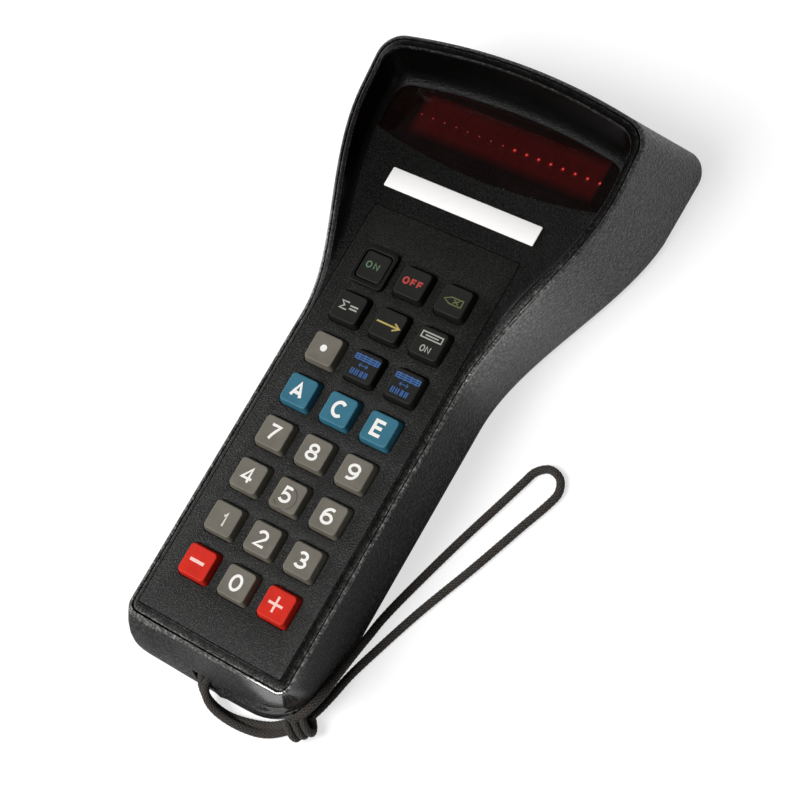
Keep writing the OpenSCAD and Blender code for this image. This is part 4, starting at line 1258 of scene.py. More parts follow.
class TERMINAL_OT_front_shell(bpy.types.Operator):
    """Makes the front shell: face, rim band and hood"""

    bl_idname = "terminal.front_shell"
    bl_label = "Front shell"

    def execute(self, context):
        s = context.scene.terminal_shell
        shell = Shell(s)
        posts = Solid()
        for x, y in screw_places():
            posts.lathe(((POST_R, BOSS_TOP), (POST_R, shell.floor_z + POST_IN)), (x, y, 0))
        piece = front_shell_solid(shell).piece("front")
        piece = combined(piece, posts.piece("posts"), "UNION")
        out = Solid()
        out.prism(sheet_ring(PANEL_GAP, PANEL_RECESS_R), node_box("keypad_panel")[0][2], s.face_z + OVER)
        holes = key_holes(*FACE_HOLE, shell.floor_z - OVER, s.face_z + HOLE_OVER)
        out.add(holes.points, holes.faces)
        out.box((*WINDOW_LOW, shell.floor_z - OVER), (*WINDOW_HIGH, s.face_z - WINDOW_SILL))
        piece = combined(piece, out.piece("out"), "DIFFERENCE")
        seat = lens_block(shell, 0.0, s.face_z - LENS_SEAT, s.face_z + LENS_CUT)
        piece = combined(piece, seat, "DIFFERENCE")
        tone, rubbed_sparkle = darker(s.black, 0.62), darker(s.rubbed_sparkle, 0.5)
        cell, depth = s.grain * 0.7, s.grain_depth * 0.4
        black = grained_plastic("face_grain", tone, rubbed_sparkle, s.worn_glint, cell, depth, (0.4, 0.55), 0.1, 0.2)
        finish(piece, "front_shell", black, "front_housing")
        return {"FINISHED"}


class TERMINAL_OT_keypad_panel(bpy.types.Operator):
    """Makes the keypad panel, its key holes and the raised guard round the ON key"""

    bl_idname = "terminal.keypad_panel"
    bl_label = "Keypad panel"

    def execute(self, context):
        s = context.scene.terminal_keypad
        face = context.scene.terminal_shell.face_z
        low, high = node_box("keypad_panel")
        sheet = Solid().prism(sheet_ring(0.0, PANEL_R), low[2], face).piece("panel")
        holes = key_holes(*PANEL_HOLE, low[2] - OVER, high[2] + OVER).piece("holes")
        sheet = bevelled(combined(sheet, holes, "DIFFERENCE"), PANEL_BEVEL, 3)
        # Lighter grain tops and edges on the panel: partly rubbing, partly a painted sparkle and highlight
        rubbed_sparkle, worn_glint = darker(s.panel, 3.4), darker(s.panel, 7)
        satin = grained_plastic(
            "panel_grain", s.panel, rubbed_sparkle, worn_glint, 0.55, 0.13, (0.34, 0.6), 0.3, head_share=0.35
        )
        finish(sheet, "keypad_sheet", satin, "keypad_panel")

        rings = []
        for w, d, r, rise, _ in GUARD:
            z = face + GUARD_FOOT if rise is None else high[2] + rise
            rings.append(at_height(rounded_ring(w, d, r) + node_centre(ON_KEY)[:2], z))
        guard = Solid().loft(rings, [row[-1] for row in GUARD], hollow=True).turned_out("guard")
        # Lighter edge colour: painted highlights on the guard's edges
        worn_glint = (0.10, 0.10, 0.095)
        gloss = satin_plastic("guard_satin", darker(s.panel, 0.3), rough=0.5, worn_glint=worn_glint, gloss=0.08)
        finish(guard, "on_key_guard", gloss, "keypad_panel", replaces=False)
        return {"FINISHED"}


# A keycap's flange under the face: width, depth, corner and height
FLANGE_W, FLANGE_D, FLANGE_R, FLANGE_H = 13.4, 13.0, 1.0, 1.1
# The corners of a cap, how far its straight foot reaches below and over the face, and how far its
# sides lean in, on a common key and on the ON key
CAP_R, CAP_TOP_R, CAP_LOW, CAP_HIGH, LEAN, ON_LEAN = 1.4, 1.3, 0.4, 0.3, 0.6, 0.15
# The round of its top edge, and how much lighter it is painted there as a highlight on the bevel
CAP_EDGE_R, CAP_EDGE_GLINT = 0.38, 0.7
# Its hollow top, in rings at these shares of its width
DISH_SHARES = (0.94, 0.84, 0.7, 0.52, 0.32, 0.1)


def keycap(node, face, dish):
    """A keycap with its stem and flange: leaning sides, round edges and a slightly hollow top."""
    w, d = key_size(node)
    low, high = node_box(node)
    lean = ON_LEAN if node == ON_KEY else LEAN
    top = high[2]
    flange_z = low[2] + FLANGE_H
    steps = [
        (FLANGE_W, FLANGE_D, FLANGE_R, low[2], 0),
        (FLANGE_W, FLANGE_D, FLANGE_R, flange_z, 0),
        (w, d, CAP_R, flange_z, 0),
        (w, d, CAP_R, face - CAP_LOW, 0),
        (w - 0.1, d - 0.1, CAP_R, face + CAP_HIGH, 0.1),
    ]
    wt, dt = w - 2 * lean, d - 2 * lean
    for a in np.radians(np.arange(0, 91, 15)):
        inset = CAP_EDGE_R * (1 - math.cos(a))
        z = top - CAP_EDGE_R * (1 - math.sin(a))
        steps.append((wt - 2 * inset, dt - 2 * inset, CAP_TOP_R - inset, z, CAP_EDGE_GLINT * math.sin(2 * a)))
    wt, dt = wt - 2 * CAP_EDGE_R, dt - 2 * CAP_EDGE_R
    for share in DISH_SHARES:
        z = top - dish * (1 - share**2)
        steps.append((wt * share, dt * share, (CAP_TOP_R - CAP_EDGE_R) * share, z, 0))
    middle = node_centre(node)[:2]
    rings = [at_height(rounded_ring(a, b, r, 7) + middle, z) for a, b, r, z, _ in steps]
    return Solid().loft(rings, [step[-1] for step in steps]).piece(node + "_cap", CAP_SHARP)


class TERMINAL_OT_keycaps(bpy.types.Operator):
    """Makes the 24 keycaps, each on its own body"""

    bl_idname = "terminal.keycaps"
    bl_label = "Keycaps"

    def execute(self, context):
        s = context.scene.terminal_keypad
        face = context.scene.terminal_shell.face_z
        # Lighter colours for the caps' edges: painted highlights on their bevels
        bright_blue, bright_red = darker(s.blue, 1.8), (0.74, 0.06, 0.035)
        caps = {
            "key_grey": satin_plastic("keycap_grey", s.grey, 0.5, depth=0.008, gloss=0.2),
            "key_blue": satin_plastic("keycap_blue", s.blue, 0.44, worn_glint=bright_blue, gloss=0.25),
            "key_red": satin_plastic("keycap_red", s.red, 0.45, worn_glint=bright_red, gloss=0.1),
            "key_black": satin_plastic("keycap_black", s.black, 0.52, depth=0.012, gloss=0.2),
        }
        for node in KEY_NODES:
            finish(keycap(node, face, s.dish), node + "_cap", caps[slot_of(node)], node)
        return {"FINISHED"}


def arc(x, y, rx, ry, start, stop, steps=16):
    """Points on an oval arc, its angles in degrees."""
    a = np.radians(np.linspace(start, stop, steps))
    return [(x + rx * math.cos(t), y + ry * math.sin(t)) for t in a]


def half_turn(strokes, w, h):
    return [[(w - x, h - y) for x, y in stroke] for stroke in strokes]


# Strokes of the characters, on a height of 1 between the middles of the outer strokes
SIX = [arc(0.38, 0.3, 0.38, 0.3, 90, 450, 26), arc(0.50, 0.45, 0.50, 0.55, 180, 65, 14)]
GLYPHS = {
    "0": [arc(0.38, 0.5, 0.38, 0.5, 90, 450, 30)],
    "1": [[(0.08, 0.76), (0.22, 0.82), (0.34, 1.0), (0.34, 0.0)]],
    "2": [arc(0.36, 0.7, 0.34, 0.3, 165, -25, 14) + [(0.0, 0.0), (0.76, 0.0)]],
    "3": [arc(0.33, 0.75, 0.31, 0.25, 155, -90, 14) + [(0.24, 0.5)],
          [(0.24, 0.5)] + arc(0.35, 0.25, 0.38, 0.25, 90, -155, 16)],
    "4": [[(0.55, 0.0), (0.55, 1.0), (0.0, 0.28), (0.80, 0.28)]],
    "5": [[(0.68, 1.0), (0.17, 1.0), (0.08, 0.5)] + arc(0.34, 0.3, 0.38, 0.3, 128, -150, 18)],
    "6": SIX,
    "7": [[(0.0, 1.0), (0.72, 1.0), (0.48, 0.62), (0.32, 0.3), (0.22, 0.0)]],
    "8": [arc(0.38, 0.75, 0.31, 0.25, 90, 450, 24), arc(0.38, 0.25, 0.38, 0.25, 90, 450, 26)],
    "9": half_turn(SIX, 0.76, 1.0),
    "A": [[(0.0, 0.0), (0.42, 1.0), (0.84, 0.0)], [(0.14, 0.3), (0.70, 0.3)]],
    "C": [arc(0.44, 0.5, 0.44, 0.5, 48, 312, 24)],
    "E": [[(0.72, 1.0), (0.0, 1.0), (0.0, 0.0), (0.74, 0.0)], [(0.0, 0.52), (0.64, 0.52)]],
    "F": [[(0.66, 1.0), (0.0, 1.0), (0.0, 0.0)], [(0.0, 0.52), (0.58, 0.52)]],
    "N": [[(0.0, 0.0), (0.0, 1.0), (0.66, 0.0), (0.66, 1.0)]],
    "O": [arc(0.44, 0.5, 0.44, 0.5, 90, 450, 28)],
    "sum": [[(0.8, 1.0), (0.0, 1.0), (0.42, 0.5), (0.0, 0.0), (0.8, 0.0)]],
    "equals": [[(0.0, 0.7), (0.9, 0.7)], [(0.0, 0.3), (0.9, 0.3)]],
    "minus": [[(0.0, 0.5), (1.0, 0.5)]],
    "plus": [[(0.0, 0.5), (1.0, 0.5)], [(0.5, 0.0), (0.5, 1.0)]],
    "erase": [[(0.9, 1.0), (2.6, 1.0), (2.6, 0.0), (0.9, 0.0), (0.0, 0.5), (0.9, 1.0)],
              [(1.3, 0.22), (2.1, 0.78)], [(1.3, 0.78), (2.1, 0.22)]],
    "send": [[(0.0, 0.5), (2.9, 0.5)], [(2.2, 1.0), (3.0, 0.5), (2.2, 0.0)]],
    "screen": [[(0.0, 1.0), (2.9, 1.0), (2.9, 0.0), (0.0, 0.0), (0.0, 1.0)], [(0.5, 0.5), (2.4, 0.5)]],
    "chip": [[(0.0, 0.85), (2.9, 0.85), (2.9, 0.15), (0.0, 0.15), (0.0, 0.85)], [(0.0, 0.5), (2.9, 0.5)]]
    + [[(x, -0.05), (x, 1.05)] for x in (0.4, 1.1, 1.8, 2.5)],
    "swap": [[(0.3, 1.0), (0.0, 0.5), (0.3, 0.0)], [(0.0, 0.5), (1.6, 0.5)],
             [(1.3, 1.0), (1.6, 0.5), (1.3, 0.0)]],
    "bars": [[(x, 0.0), (x, 1.0)] for x in (0.0, 0.28, 0.62, 0.9, 1.3, 1.5, 1.85, 2.1)],
}  # fmt: skip


# A stroke's thickness, and the least cosine of half its turn, which keeps sharp corners short
INK_T, CORNER_COSINE = 0.12, 0.62


def stroke_solid(solid, points, width, surface):
    """A flat stroke of a width along points, on the surface that gives the height at x and y."""
    points = np.asarray(points, float)
    along = np.diff(points, axis=0)
    along /= np.linalg.norm(along, axis=1)[:, None]
    closed = np.allclose(points[0], points[-1])
    before = np.vstack([along[-1] if closed else along[0], along])
    after = np.vstack([along, along[0] if closed else along[-1]])
    middle = before + after
    middle /= np.linalg.norm(middle, axis=1)[:, None]
    reach = width / 2 / np.maximum((middle * after).sum(1), CORNER_COSINE)
    out = np.column_stack([-middle[:, 1], middle[:, 0]]) * reach[:, None]
    rings = []
    for a, b in zip(points + out, points - out):
        za, zb = surface(*a), surface(*b)
        rings.append(np.array([(*a, za), (*b, zb), (*b, zb - INK_T), (*a, za - INK_T)]))
    solid.loft(rings)


# What is printed on each key: the ink, then characters as (name, height, middle x, middle y,
# stroke width, width share), in millimetres from the key's middle
LEGENDS = {
    "key_on": ("green", [("O", 2.35, -1.95, 0.3, 0.4, 1.0), ("N", 2.35, 0.85, 0.3, 0.4, 1.2)]),
    "key_off": ("red", [("O", 2.6, -2.5, 0.05, 0.62, 1.0), ("F", 2.6, 0.2, 0.05, 0.62, 1.05),
                        ("F", 2.6, 2.6, 0.05, 0.62, 1.05)]),
    "key_clear": ("olive", [("erase", 2.6, 0.0, -0.15, 0.38, 1.12)]),
    "key_totals": ("chalk", [("sum", 3.0, -1.6, 0.15, 0.46, 1.3),
                             ("equals", 3.0, 1.9, 0.15, 0.5, 1.3)]),
    "key_send": ("yellow", [("send", 3.0, 0.0, 0.0, 0.55, 1.15)]),
    "key_display": ("chalk", [("screen", 2.3, 0.0, 2.1, 0.42, 1.35), ("O", 2.3, -1.15, -2.1, 0.36, 0.75),
                              ("N", 2.3, 0.85, -2.1, 0.36, 1.05)]),
    "key_memory": ("blue", [("chip", 2.4, 0.1, 2.5, 0.36, 1.45), ("swap", 1.5, -0.2, 0.2, 0.24, 1.5),
                            ("bars", 2.4, -0.4, -2.4, 0.4, 1.35)]),
    "key_dot": ("white", [("dot", 2.3, -0.15, 0.1, 1.0, 1.0)]),
    "key_a": ("white", [("A", 5.5, -0.3, 0.0, 1.1, 0.95)]),
    "key_c": ("white", [("C", 5.7, -0.2, 0.1, 1.1, 1.0)]),
    "key_e": ("white", [("E", 5.5, -0.25, 0.0, 1.1, 1.0)]),
    "key_1": ("faded", [("1", 5.0, 0.35, -0.2, 0.75, 0.85)]),
    "key_minus": ("pink", [("minus", 1.05, -0.2, 0.05, 1.05, 0.0)]),
    "key_plus": ("pink", [("plus", 6.0, -0.4, 0.0, 0.82, 1.0)]),
}  # fmt: skip
LEGENDS["key_scan"] = LEGENDS["key_memory"]
INKS = {
    "white": (0.90, 0.88, 0.84),
    "chalk": (0.42, 0.42, 0.39),
    "faded": (0.66, 0.62, 0.56),
    "pink": (0.95, 0.60, 0.53),
    "green": (0.11, 0.21, 0.11),
    "red": (0.46, 0.045, 0.035),
    "olive": (0.12, 0.135, 0.045),
    "yellow": (0.46, 0.37, 0.10),
    "blue": (0.035, 0.125, 0.36),
}
# How much more of the faded ink is gone, and how far ink stands over the key
FADED = 0.3
INK_RISE = 0.015
# What the hollow top of a key is narrower than its foot, on the ON key and on a common one
ON_TOP_LESS, TOP_LESS = 1.06, 1.96
# A digit's place on its key, its width share, and the place of the 5, which stands by its ring
DIGIT_X, FIVE_X, DIGIT_SHARE = -0.2, -0.7, 0.98
# The minus sign's length, and how deep the printed dot reaches and how far it stands out
MINUS_L, DOT_DEPTH, DOT_RISE = 5.3, 0.2, 0.02
# The ring beside the 5, raised and darker grey so that it paints the shade of a groove: middle, radius,
# angles, stroke and height over the hollow
RING_X, RING_Y, RING_R, RING_START, RING_END = -0.3, -0.9, 3.7, -150, 80
RING_STROKE, RING_RISE = 0.3, 0.08


class TERMINAL_OT_legends(bpy.types.Operator):
    """Prints the digits, letters and signs on the keys"""

    bl_idname = "terminal.legends"
    bl_label = "Key legends"

    def execute(self, context):
        s = context.scene.terminal_keypad
        inks = {}
        for tint, tone in INKS.items():
            inks[tint] = ink("ink_" + tint, tone, FADED if tint == "faded" else 0.0)
        marks = dict(LEGENDS)
        for digit in "023456789":
            x = FIVE_X if digit == "5" else DIGIT_X
            marks["key_" + digit] = ("white", [(digit, s.digit_h, x, 0.0, s.stroke, DIGIT_SHARE)])
        for node, (tint, glyphs) in marks.items():
            x0, y0 = node_centre(node)[:2]
            top = node_box(node)[1][2]
            w, d = (size - (ON_TOP_LESS if node == ON_KEY else TOP_LESS) for size in key_size(node))

            def surface(x, y):
                share = min(max(abs(x - x0) * 2 / w, abs(y - y0) * 2 / d), 1.0)
                return top - s.dish * (1 - share**2) + INK_RISE

            solid = Solid()
            for name, height, x, y, width, squeeze in glyphs:
                if name == "dot":
                    profile = ((height / 2, top - DOT_DEPTH), (height / 2, top - s.dish + DOT_RISE))
                    solid.lathe(profile, (x0 + x, y0 + y, 0))
                    continue
                strokes, size = GLYPHS[name], height - width
                if name == "minus":
                    size, squeeze = 1.0, MINUS_L
                reach = np.array([point for stroke in strokes for point in stroke])
                middle = (reach.min(0) + reach.max(0)) / 2
                for stroke in strokes:
                    points = (np.array(stroke) - middle) * (size * squeeze, size) + (x0 + x, y0 + y)
                    stroke_solid(solid, points, width, surface)
            name = node + "_legend"
            finish(solid.turned_out(name), name, inks[tint], node, replaces=False, slot="label_white")

        x0, y0 = node_centre("key_5")[:2] + (RING_X, RING_Y)
        z = node_box("key_5")[1][2] - s.dish + RING_RISE
        ring, path = Solid(), arc(x0, y0, RING_R, RING_R, RING_START, RING_END, 44)
        stroke_solid(ring, path, RING_STROKE, lambda x, y: z)
        # Painted shade: the ring is a darker grey so that it shows as a groove
        grey = satin_plastic("mark_grey", darker(s.grey, 0.5), rough=0.5, gloss=0.2)
        finish(ring.turned_out("key_5_mark"), "key_5_mark", grey, "key_5", replaces=False)
        return {"FINISHED"}


# The lens's gap in its seat and its bevel
LENS_GAP, LENS_BEVEL = 0.12, 0.1
# Modules: how many, the characters on all of them, the gap between two and their corners
MODULES, CHARACTERS, MODULE_GAP, MODULE_R = 4, 16, 0.2, 0.4
# How far a module's edge is broken inwards and down, and how far its top lies below the node's
MODULE_EDGE, MODULE_EDGE_H, MODULE_DROP = 0.15, 0.15, 0.3
# The pillow of resin over a character: width, depth, corner, height, how deep it sits and its y
PILLOW_W, PILLOW_D, PILLOW_R, PILLOW_H, PILLOW_SINK, PILLOW_Y = 2.6, 4.6, 0.5, 0.22, 0.02, 82.3
# A glowing bead that paints the highlight on a character's lens: its profile, and its place from the middle
# of a character and along the part
BEAD = ((0.26, 0.0), (0.34, 0.05), (0.2, 0.12))
BEAD_X, BEAD_Y = 0.3, 81.35
# The label plate's corner, and its rings as (inset, height, share of the darker edge)
LABEL_R = 0.4
LABEL_RINGS = ((0.1, 0.0, 0.8), (0.0, 0.1, 0.8), (0.0, 0.28, 0.8), (0.05, 0.36, 0.5), (0.14, 0.4, 0.0))


class TERMINAL_OT_display(bpy.types.Operator):
    """Makes the lens, the LED modules behind it, their glowing dots that paint highlights, the shade and
    the label plate
    """

    bl_idname = "terminal.display"
    bl_label = "Display"

    def execute(self, context):
        s = context.scene.terminal_display
        shell = Shell(context.scene.terminal_shell)
        low, high = node_box("display_lens")
        lens = bevelled(lens_block(shell, LENS_GAP, low[2], high[2]), LENS_BEVEL)
        finish(lens, "lens", smoked_lens("lens_red", s.lens), "display_lens")

        low, high = node_box("display_modules")
        middle, size = (low + high) / 2, high - low
        pitch = (size[0] + MODULE_GAP) / MODULES
        w, d, top = pitch - MODULE_GAP, size[1], high[2] - MODULE_DROP
        modules = Solid()
        for i in range(MODULES):
            at = ((i - (MODULES - 1) / 2) * pitch, middle[1])
            ring = rounded_ring(w, d, MODULE_R, 3) + at
            inner = rounded_ring(w - 2 * MODULE_EDGE, d - 2 * MODULE_EDGE, MODULE_R - 0.1, 3) + at
            rings = [at_height(ring, low[2]), at_height(ring, top - MODULE_EDGE_H), at_height(inner, top)]
            modules.loft(rings)
        characters = [(i - (CHARACTERS - 1) / 2) * s.char_pitch for i in range(CHARACTERS)]
        for x in characters:
            rings = []
            for a in np.radians((0, 20, 40, 60, 80)):
                narrow = math.cos(a * 0.6)
                ring = rounded_ring(PILLOW_W * narrow, PILLOW_D * narrow, PILLOW_R * math.cos(a), 4)
                rings.append(at_height(ring + (x, PILLOW_Y), top - PILLOW_SINK + PILLOW_H * math.sin(a)))
            modules.loft(rings)
        # The resin glows faintly as painted light, and past the row's edges it is darkened as painted shade
        red = led_plastic("module_red", s.led, 0.15, (high[0], middle[1], size[1] / 2))
        finish(modules.piece("modules"), "led_modules", red, "display_modules")

        half = CHARACTERS // 2
        # Painted highlights on the characters' lenses: brighter, with halos, on the right half of the row,
        # and fainter on the left
        for name, look, tone, glow, wide, tall, down, at in (
            ("led_dots_dim", "led_dim", s.dot, 0.8, 0.85, 1.0, 0.1, characters[:half]),
            ("led_dots_lit", "led_lit", s.dot, 2.6, 1.15, 1.0, 0.1, characters[half:]),
            ("led_halos", "led_halo", (0.75, 0.01, 0.01), 0.6, 2.3, 0.5, 0.08, characters[half:]),
        ):
            bead = Solid().lathe([(r * wide, h * tall) for r, h in BEAD], sides=14).piece("bead")
            resin = led_plastic(look, tone, glow)
            dots = repeated(bead, [(x + BEAD_X, BEAD_Y, high[2] - down) for x in at], resin)
            finish(dots, name, resin, "display_modules", replaces=False)

        black = satin_plastic("shade_black", (0.012, 0.012, 0.012), rough=0.5)
        dress("display_shade", "lens_shade", black, 0.15)

        low, high = node_box("label_plate")
        size, middle = high - low, (low + high) / 2
        rings = []
        for inset, z, _ in LABEL_RINGS:
            ring = rounded_ring(size[0] - 2 * inset, size[1] - 2 * inset, LABEL_R - inset, 5) + middle[:2]
            rings.append(at_height(ring, low[2] + z))
        plate = Solid().loft(rings, [row[-1] for row in LABEL_RINGS]).piece("label")
        finish(plate, "label", bare_label("label_bare", s.label), "label_plate")
        return {"FINISHED"}


# How far a cell's button stands out of its sleeve, where the sleeve's pale band starts, as a share
# of its length, and the sides of a cell
BUTTON_H, BAND_START, CELL_SIDES = 1.2, 0.86, 48
SLEEVE_BLUE, SLEEVE_BAND = (0.040, 0.075, 0.110), (0.42, 0.43, 0.42)
STEEL, TIN, ZINC, BRASS = (0.62, 0.62, 0.60), (0.66, 0.64, 0.56), (0.55, 0.54, 0.50), (0.62, 0.42, 0.14)
# Springs: turns, radii of the coil at its two ends, end gap, and the share of a flat end. Points
# along the coil, and the wire's radius and sides
SPRING_TURNS, SPRING_R, SPRING_END_R, SPRING_GAP, FLAT_END = 3.6, 4.0, 3.6, 0.35, 0.12
SPRING_POINTS, WIRE_R, WIRE_SIDES = 120, 0.35, 8
# The grip's ridges: how many, first one's place, pitch, length and what each is shorter
RIDGES, RIDGE_Y, RIDGE_PITCH, RIDGE_W, RIDGE_LESS = 9, 3.5, 1.3, 15.0, 0.7


class TERMINAL_OT_battery(bpy.types.Operator):
    """Makes the cells, springs and contacts, and the door with its grip and pin"""

    bl_idname = "terminal.battery"
    bl_label = "Battery"

    def execute(self, context):
        low, high = node_box("battery_cells")
        r, z = (high[2] - low[2]) / 2, (low[2] + high[2]) / 2
        button = high[1] - low[1]
        run = button - BUTTON_H
        sleeve = (
            (r - 1.1, 0.15), (r - 0.3, 0.1), (r, 0.5),
            (r, run - 0.5), (r - 0.3, run - 0.1), (r - 1.0, run - 0.15),
        )  # fmt: skip
        metal = (
            (r - 2.2, 0.0), (r - 1.2, 0.05), (r - 0.6, 0.3), (r - 0.6, run - 0.3), (r - 1.4, run),
            (2.9, run - 0.1), (2.7, run + 0.2), (2.7, button - 0.3), (2.3, button),
        )  # fmt: skip
        t = np.linspace(0, 1, SPRING_POINTS)
        turn, radius = t * 2 * math.pi * SPRING_TURNS, mix(SPRING_R, SPRING_END_R, t)
        (_, near, _), (_, far, _) = node_box("battery_springs")
        rise = np.clip((t - FLAT_END) / (1 - 2 * FLAT_END), 0, 1)
        rise = near + SPRING_GAP + (far - near - 2 * SPRING_GAP) * rise
        wraps, ends, springs = Solid(), Solid(), Solid()
        for x in (low[0] + r, 0.0, high[0] - r):
            wraps.lathe(sleeve, (x, low[1], z), "y", CELL_SIDES)
            ends.lathe(metal, (x, low[1], z), "y", CELL_SIDES)
            coil = np.column_stack([x + radius * np.cos(turn), rise, z + radius * np.sin(turn)])
            wire = tube(coil, WIRE_R, WIRE_SIDES)
            springs.add(wire.points, wire.faces)
        steel = plated_metal("bright_steel", STEEL, 0.28)
        wrap = cell_wrap("cell_sleeve", SLEEVE_BLUE, SLEEVE_BAND, low[1] + run * BAND_START)
        finish(wraps.turned_out("wraps"), "cell_sleeves", wrap, "battery_cells")
        finish(ends.turned_out("ends"), "cell_ends", steel, "battery_springs", replaces=False)
        finish(springs.turned_out("springs", ROUND_SHARP), "springs", steel, "battery_springs")
        dress("battery_contacts", "contacts", plated_metal("tinned_steel", TIN, 0.34), 0.12)

        low, high = node_box("battery_door")
        ridges = Solid()
        for i in range(RIDGES):
            at = (0.0, high[1] - RIDGE_Y - RIDGE_PITCH * i)
            ridge_w = RIDGE_W - RIDGE_LESS * i
            ring = rounded_ring(ridge_w, 0.6, 0.28, 4) + at
            inner = rounded_ring(ridge_w - 0.3, 0.3, 0.14, 4) + at
            rings = ((inner, -0.24), (ring, -0.1), (ring, 0.3))
            ridges.loft([at_height(outline, low[2] + rise) for outline, rise in rings])
        grain = bpy.data.materials["shell_grain"]
        dress("battery_door", "door", grain, 0.3)
        finish(ridges.piece("grip"), "door_grip", grain, "battery_door", replaces=False)
        dress("door_hinge_pin", "hinge_pin", steel, 0.15)
        return {"FINISHED"}


# Chips as (middle x, middle y, half width, half depth): two rows of small ones and a large one
CHIPS = [(x, y, 9, 4) for x in (-13, 13) for y in (30, 44, 58)] + [(0, 71.5, 20, 4.5)]
# Their legs: pitch, half width and top, and from and to where the foot and the shoulder reach
LEG_PITCH, LEG_HALF_W, LEG_TOP = 2.54, 0.25, 2.0
FOOT_Y, SHOULDER_Y, FOOT_Z, SHOULDER_Z = (-0.75, -0.45), (-0.7, 0.1), -0.1, 1.7


def leg_places():
    """Where the chips' legs stand, and which way they face."""
    z = node_box("logic_chips")[0][2]
    places, turns = [], []
    for x, y, half_w, half_d in CHIPS:
        last = int((2 * half_w - 1) // LEG_PITCH)
        for i in range(last + 1):
            at = x + (i - last / 2) * LEG_PITCH
            places += [(at, y - half_d, z), (at, y + half_d, z)]
            turns += [(0, 0, 0), (0, 0, 180)]
    return places, turns


class TERMINAL_OT_inside(bpy.types.Operator):
    """Dresses the boards, chips, flat cables, buzzer and mat, and sets the chips' legs"""

    bl_idname = "terminal.inside"
    bl_label = "Boards and mat"

    def execute(self, context):
        board = circuit_board("board_green")
        steel = bpy.data.materials["bright_steel"]
        epoxy = satin_plastic("chip_epoxy", (0.014, 0.014, 0.015), rough=0.55, depth=0.012)
        cable = flat_cable("flat_cable", (0.30, 0.30, 0.29))
        rubber = satin_plastic("mat_rubber", (0.16, 0.16, 0.165), rough=0.7, cell=0.5, depth=0.02)
        brass = plated_metal("insert_brass", BRASS, 0.3)
        for node, name, material, edge in (
            ("key_mat", "mat", rubber, 0.2),
            ("keypad_board", "board_keypad", board, 0.08),
            ("display_board", "board_display", board, 0.08),
            ("logic_board", "board_logic", board, 0.08),
            ("logic_chips", "chips", epoxy, 0.2),
            ("keypad_ribbon", "cable_keypad", cable, 0.08),
            ("display_ribbon", "cable_display", cable, 0.08),
            ("buzzer", "sounder", epoxy, 0.25),
            ("board_screws", "screws_boards", steel, 0.12),
            ("threaded_inserts", "inserts", brass, 0.12),
        ):
            dress(node, name, material, edge)
        leg = Solid().box((-LEG_HALF_W, FOOT_Y[0], FOOT_Z), (LEG_HALF_W, FOOT_Y[1], LEG_TOP))
        leg.box((-LEG_HALF_W, SHOULDER_Y[0], SHOULDER_Z), (LEG_HALF_W, SHOULDER_Y[1], LEG_TOP))
        places, turns = leg_places()
        legs = repeated(leg.piece("leg"), places, steel, turns)
        finish(legs, "chip_legs", steel, "board_screws", replaces=False)
        return {"FINISHED"}


# The port's height, and its insert: its corners in x and z, and how far it reaches in and out
PORT_Z = 14.0
INSERT = ((-7.7, -3.3), (7.7, -3.3), (6.9, 3.3), (-6.9, 3.3))
INSERT_IN, INSERT_OUT = 0.4, 0.06
# Its holes: rows as (count, height), pitch, radius, depth
PORT_ROWS = ((5, 1.42), (4, -1.42))
PORT_PITCH, PORT_HOLE_R, PORT_HOLE_DEPTH = 2.76, 0.5, 2.0


class TERMINAL_OT_fittings(bpy.types.Operator):
    """Dresses the shell screws, the port with its jackscrews and the strap's anchor pin"""

    bl_idname = "terminal.fittings"
    bl_label = "Screws and port"

    def execute(self, context):
        steel = bpy.data.materials["bright_steel"]
        zinc = plated_metal("zinc_plate", ZINC, 0.36)
        dress("shell_screws", "screws_shell", zinc, 0.15)
        dress("port_socket", "port_shell", steel, 0.15)
        dress("port_jackscrews", "jackscrews", zinc, 0.15)
        dress("strap_anchor", "anchor_pin", steel, 0.2)
        face_y = node_box("port_socket")[1][1]
        x, z = np.array(INSERT).T
        ends = (face_y - INSERT_IN, face_y + INSERT_OUT)
        rings = [np.column_stack([x, np.full(len(x), y), PORT_Z - z]) for y in ends]
        insulator = Solid().loft(rings).turned_out("insulator")
        holes = Solid()
        for count, up in PORT_ROWS:
            for i in range(count):
                x = (i - (count - 1) / 2) * PORT_PITCH
                profile = ((PORT_HOLE_R, -PORT_HOLE_DEPTH), (PORT_HOLE_R, 1.0))
                holes.lathe(profile, (x, face_y, PORT_Z + up), "y", 16)
        insulator = combined(insulator, holes.turned_out("holes"), "DIFFERENCE")
        black = satin_plastic("insulator_black", (0.012, 0.012, 0.012), rough=0.45)
        finish(insulator, "port_insulator", black, "port_socket", replaces=False)
        return {"FINISHED"}


# The floor's half width and thickness
FLOOR_HALF, FLOOR_T = 3000, 20
# Painted shade and light that only gloss sees: the floor is darker close by the part and brightens this
# way, between two distances from the origin in metres: the share that is taken from the floor's colour, and
# the floor's own light, at one and the other
GLEAM_WAY, GLEAM_RUN = (0.6, 0.8, 0.0), (-0.03, 0.06)
GLEAM_DIM, GLEAM_LIGHT = (0.45, 0.0), (0.1, 0.55)
# Far from the part, between these distances, gloss sees it bright all round
FAR_RUN, FAR_LIGHT = (0.2, 0.45), 0.8
# The camera sees the floor's own light on this grey, and more of it between these distances
SEEN_GREY = (0.4, 0.4, 0.4)
SEEN_RUN, SEEN_LIGHT = (0.7, 1.8), (0.68, 0.98)


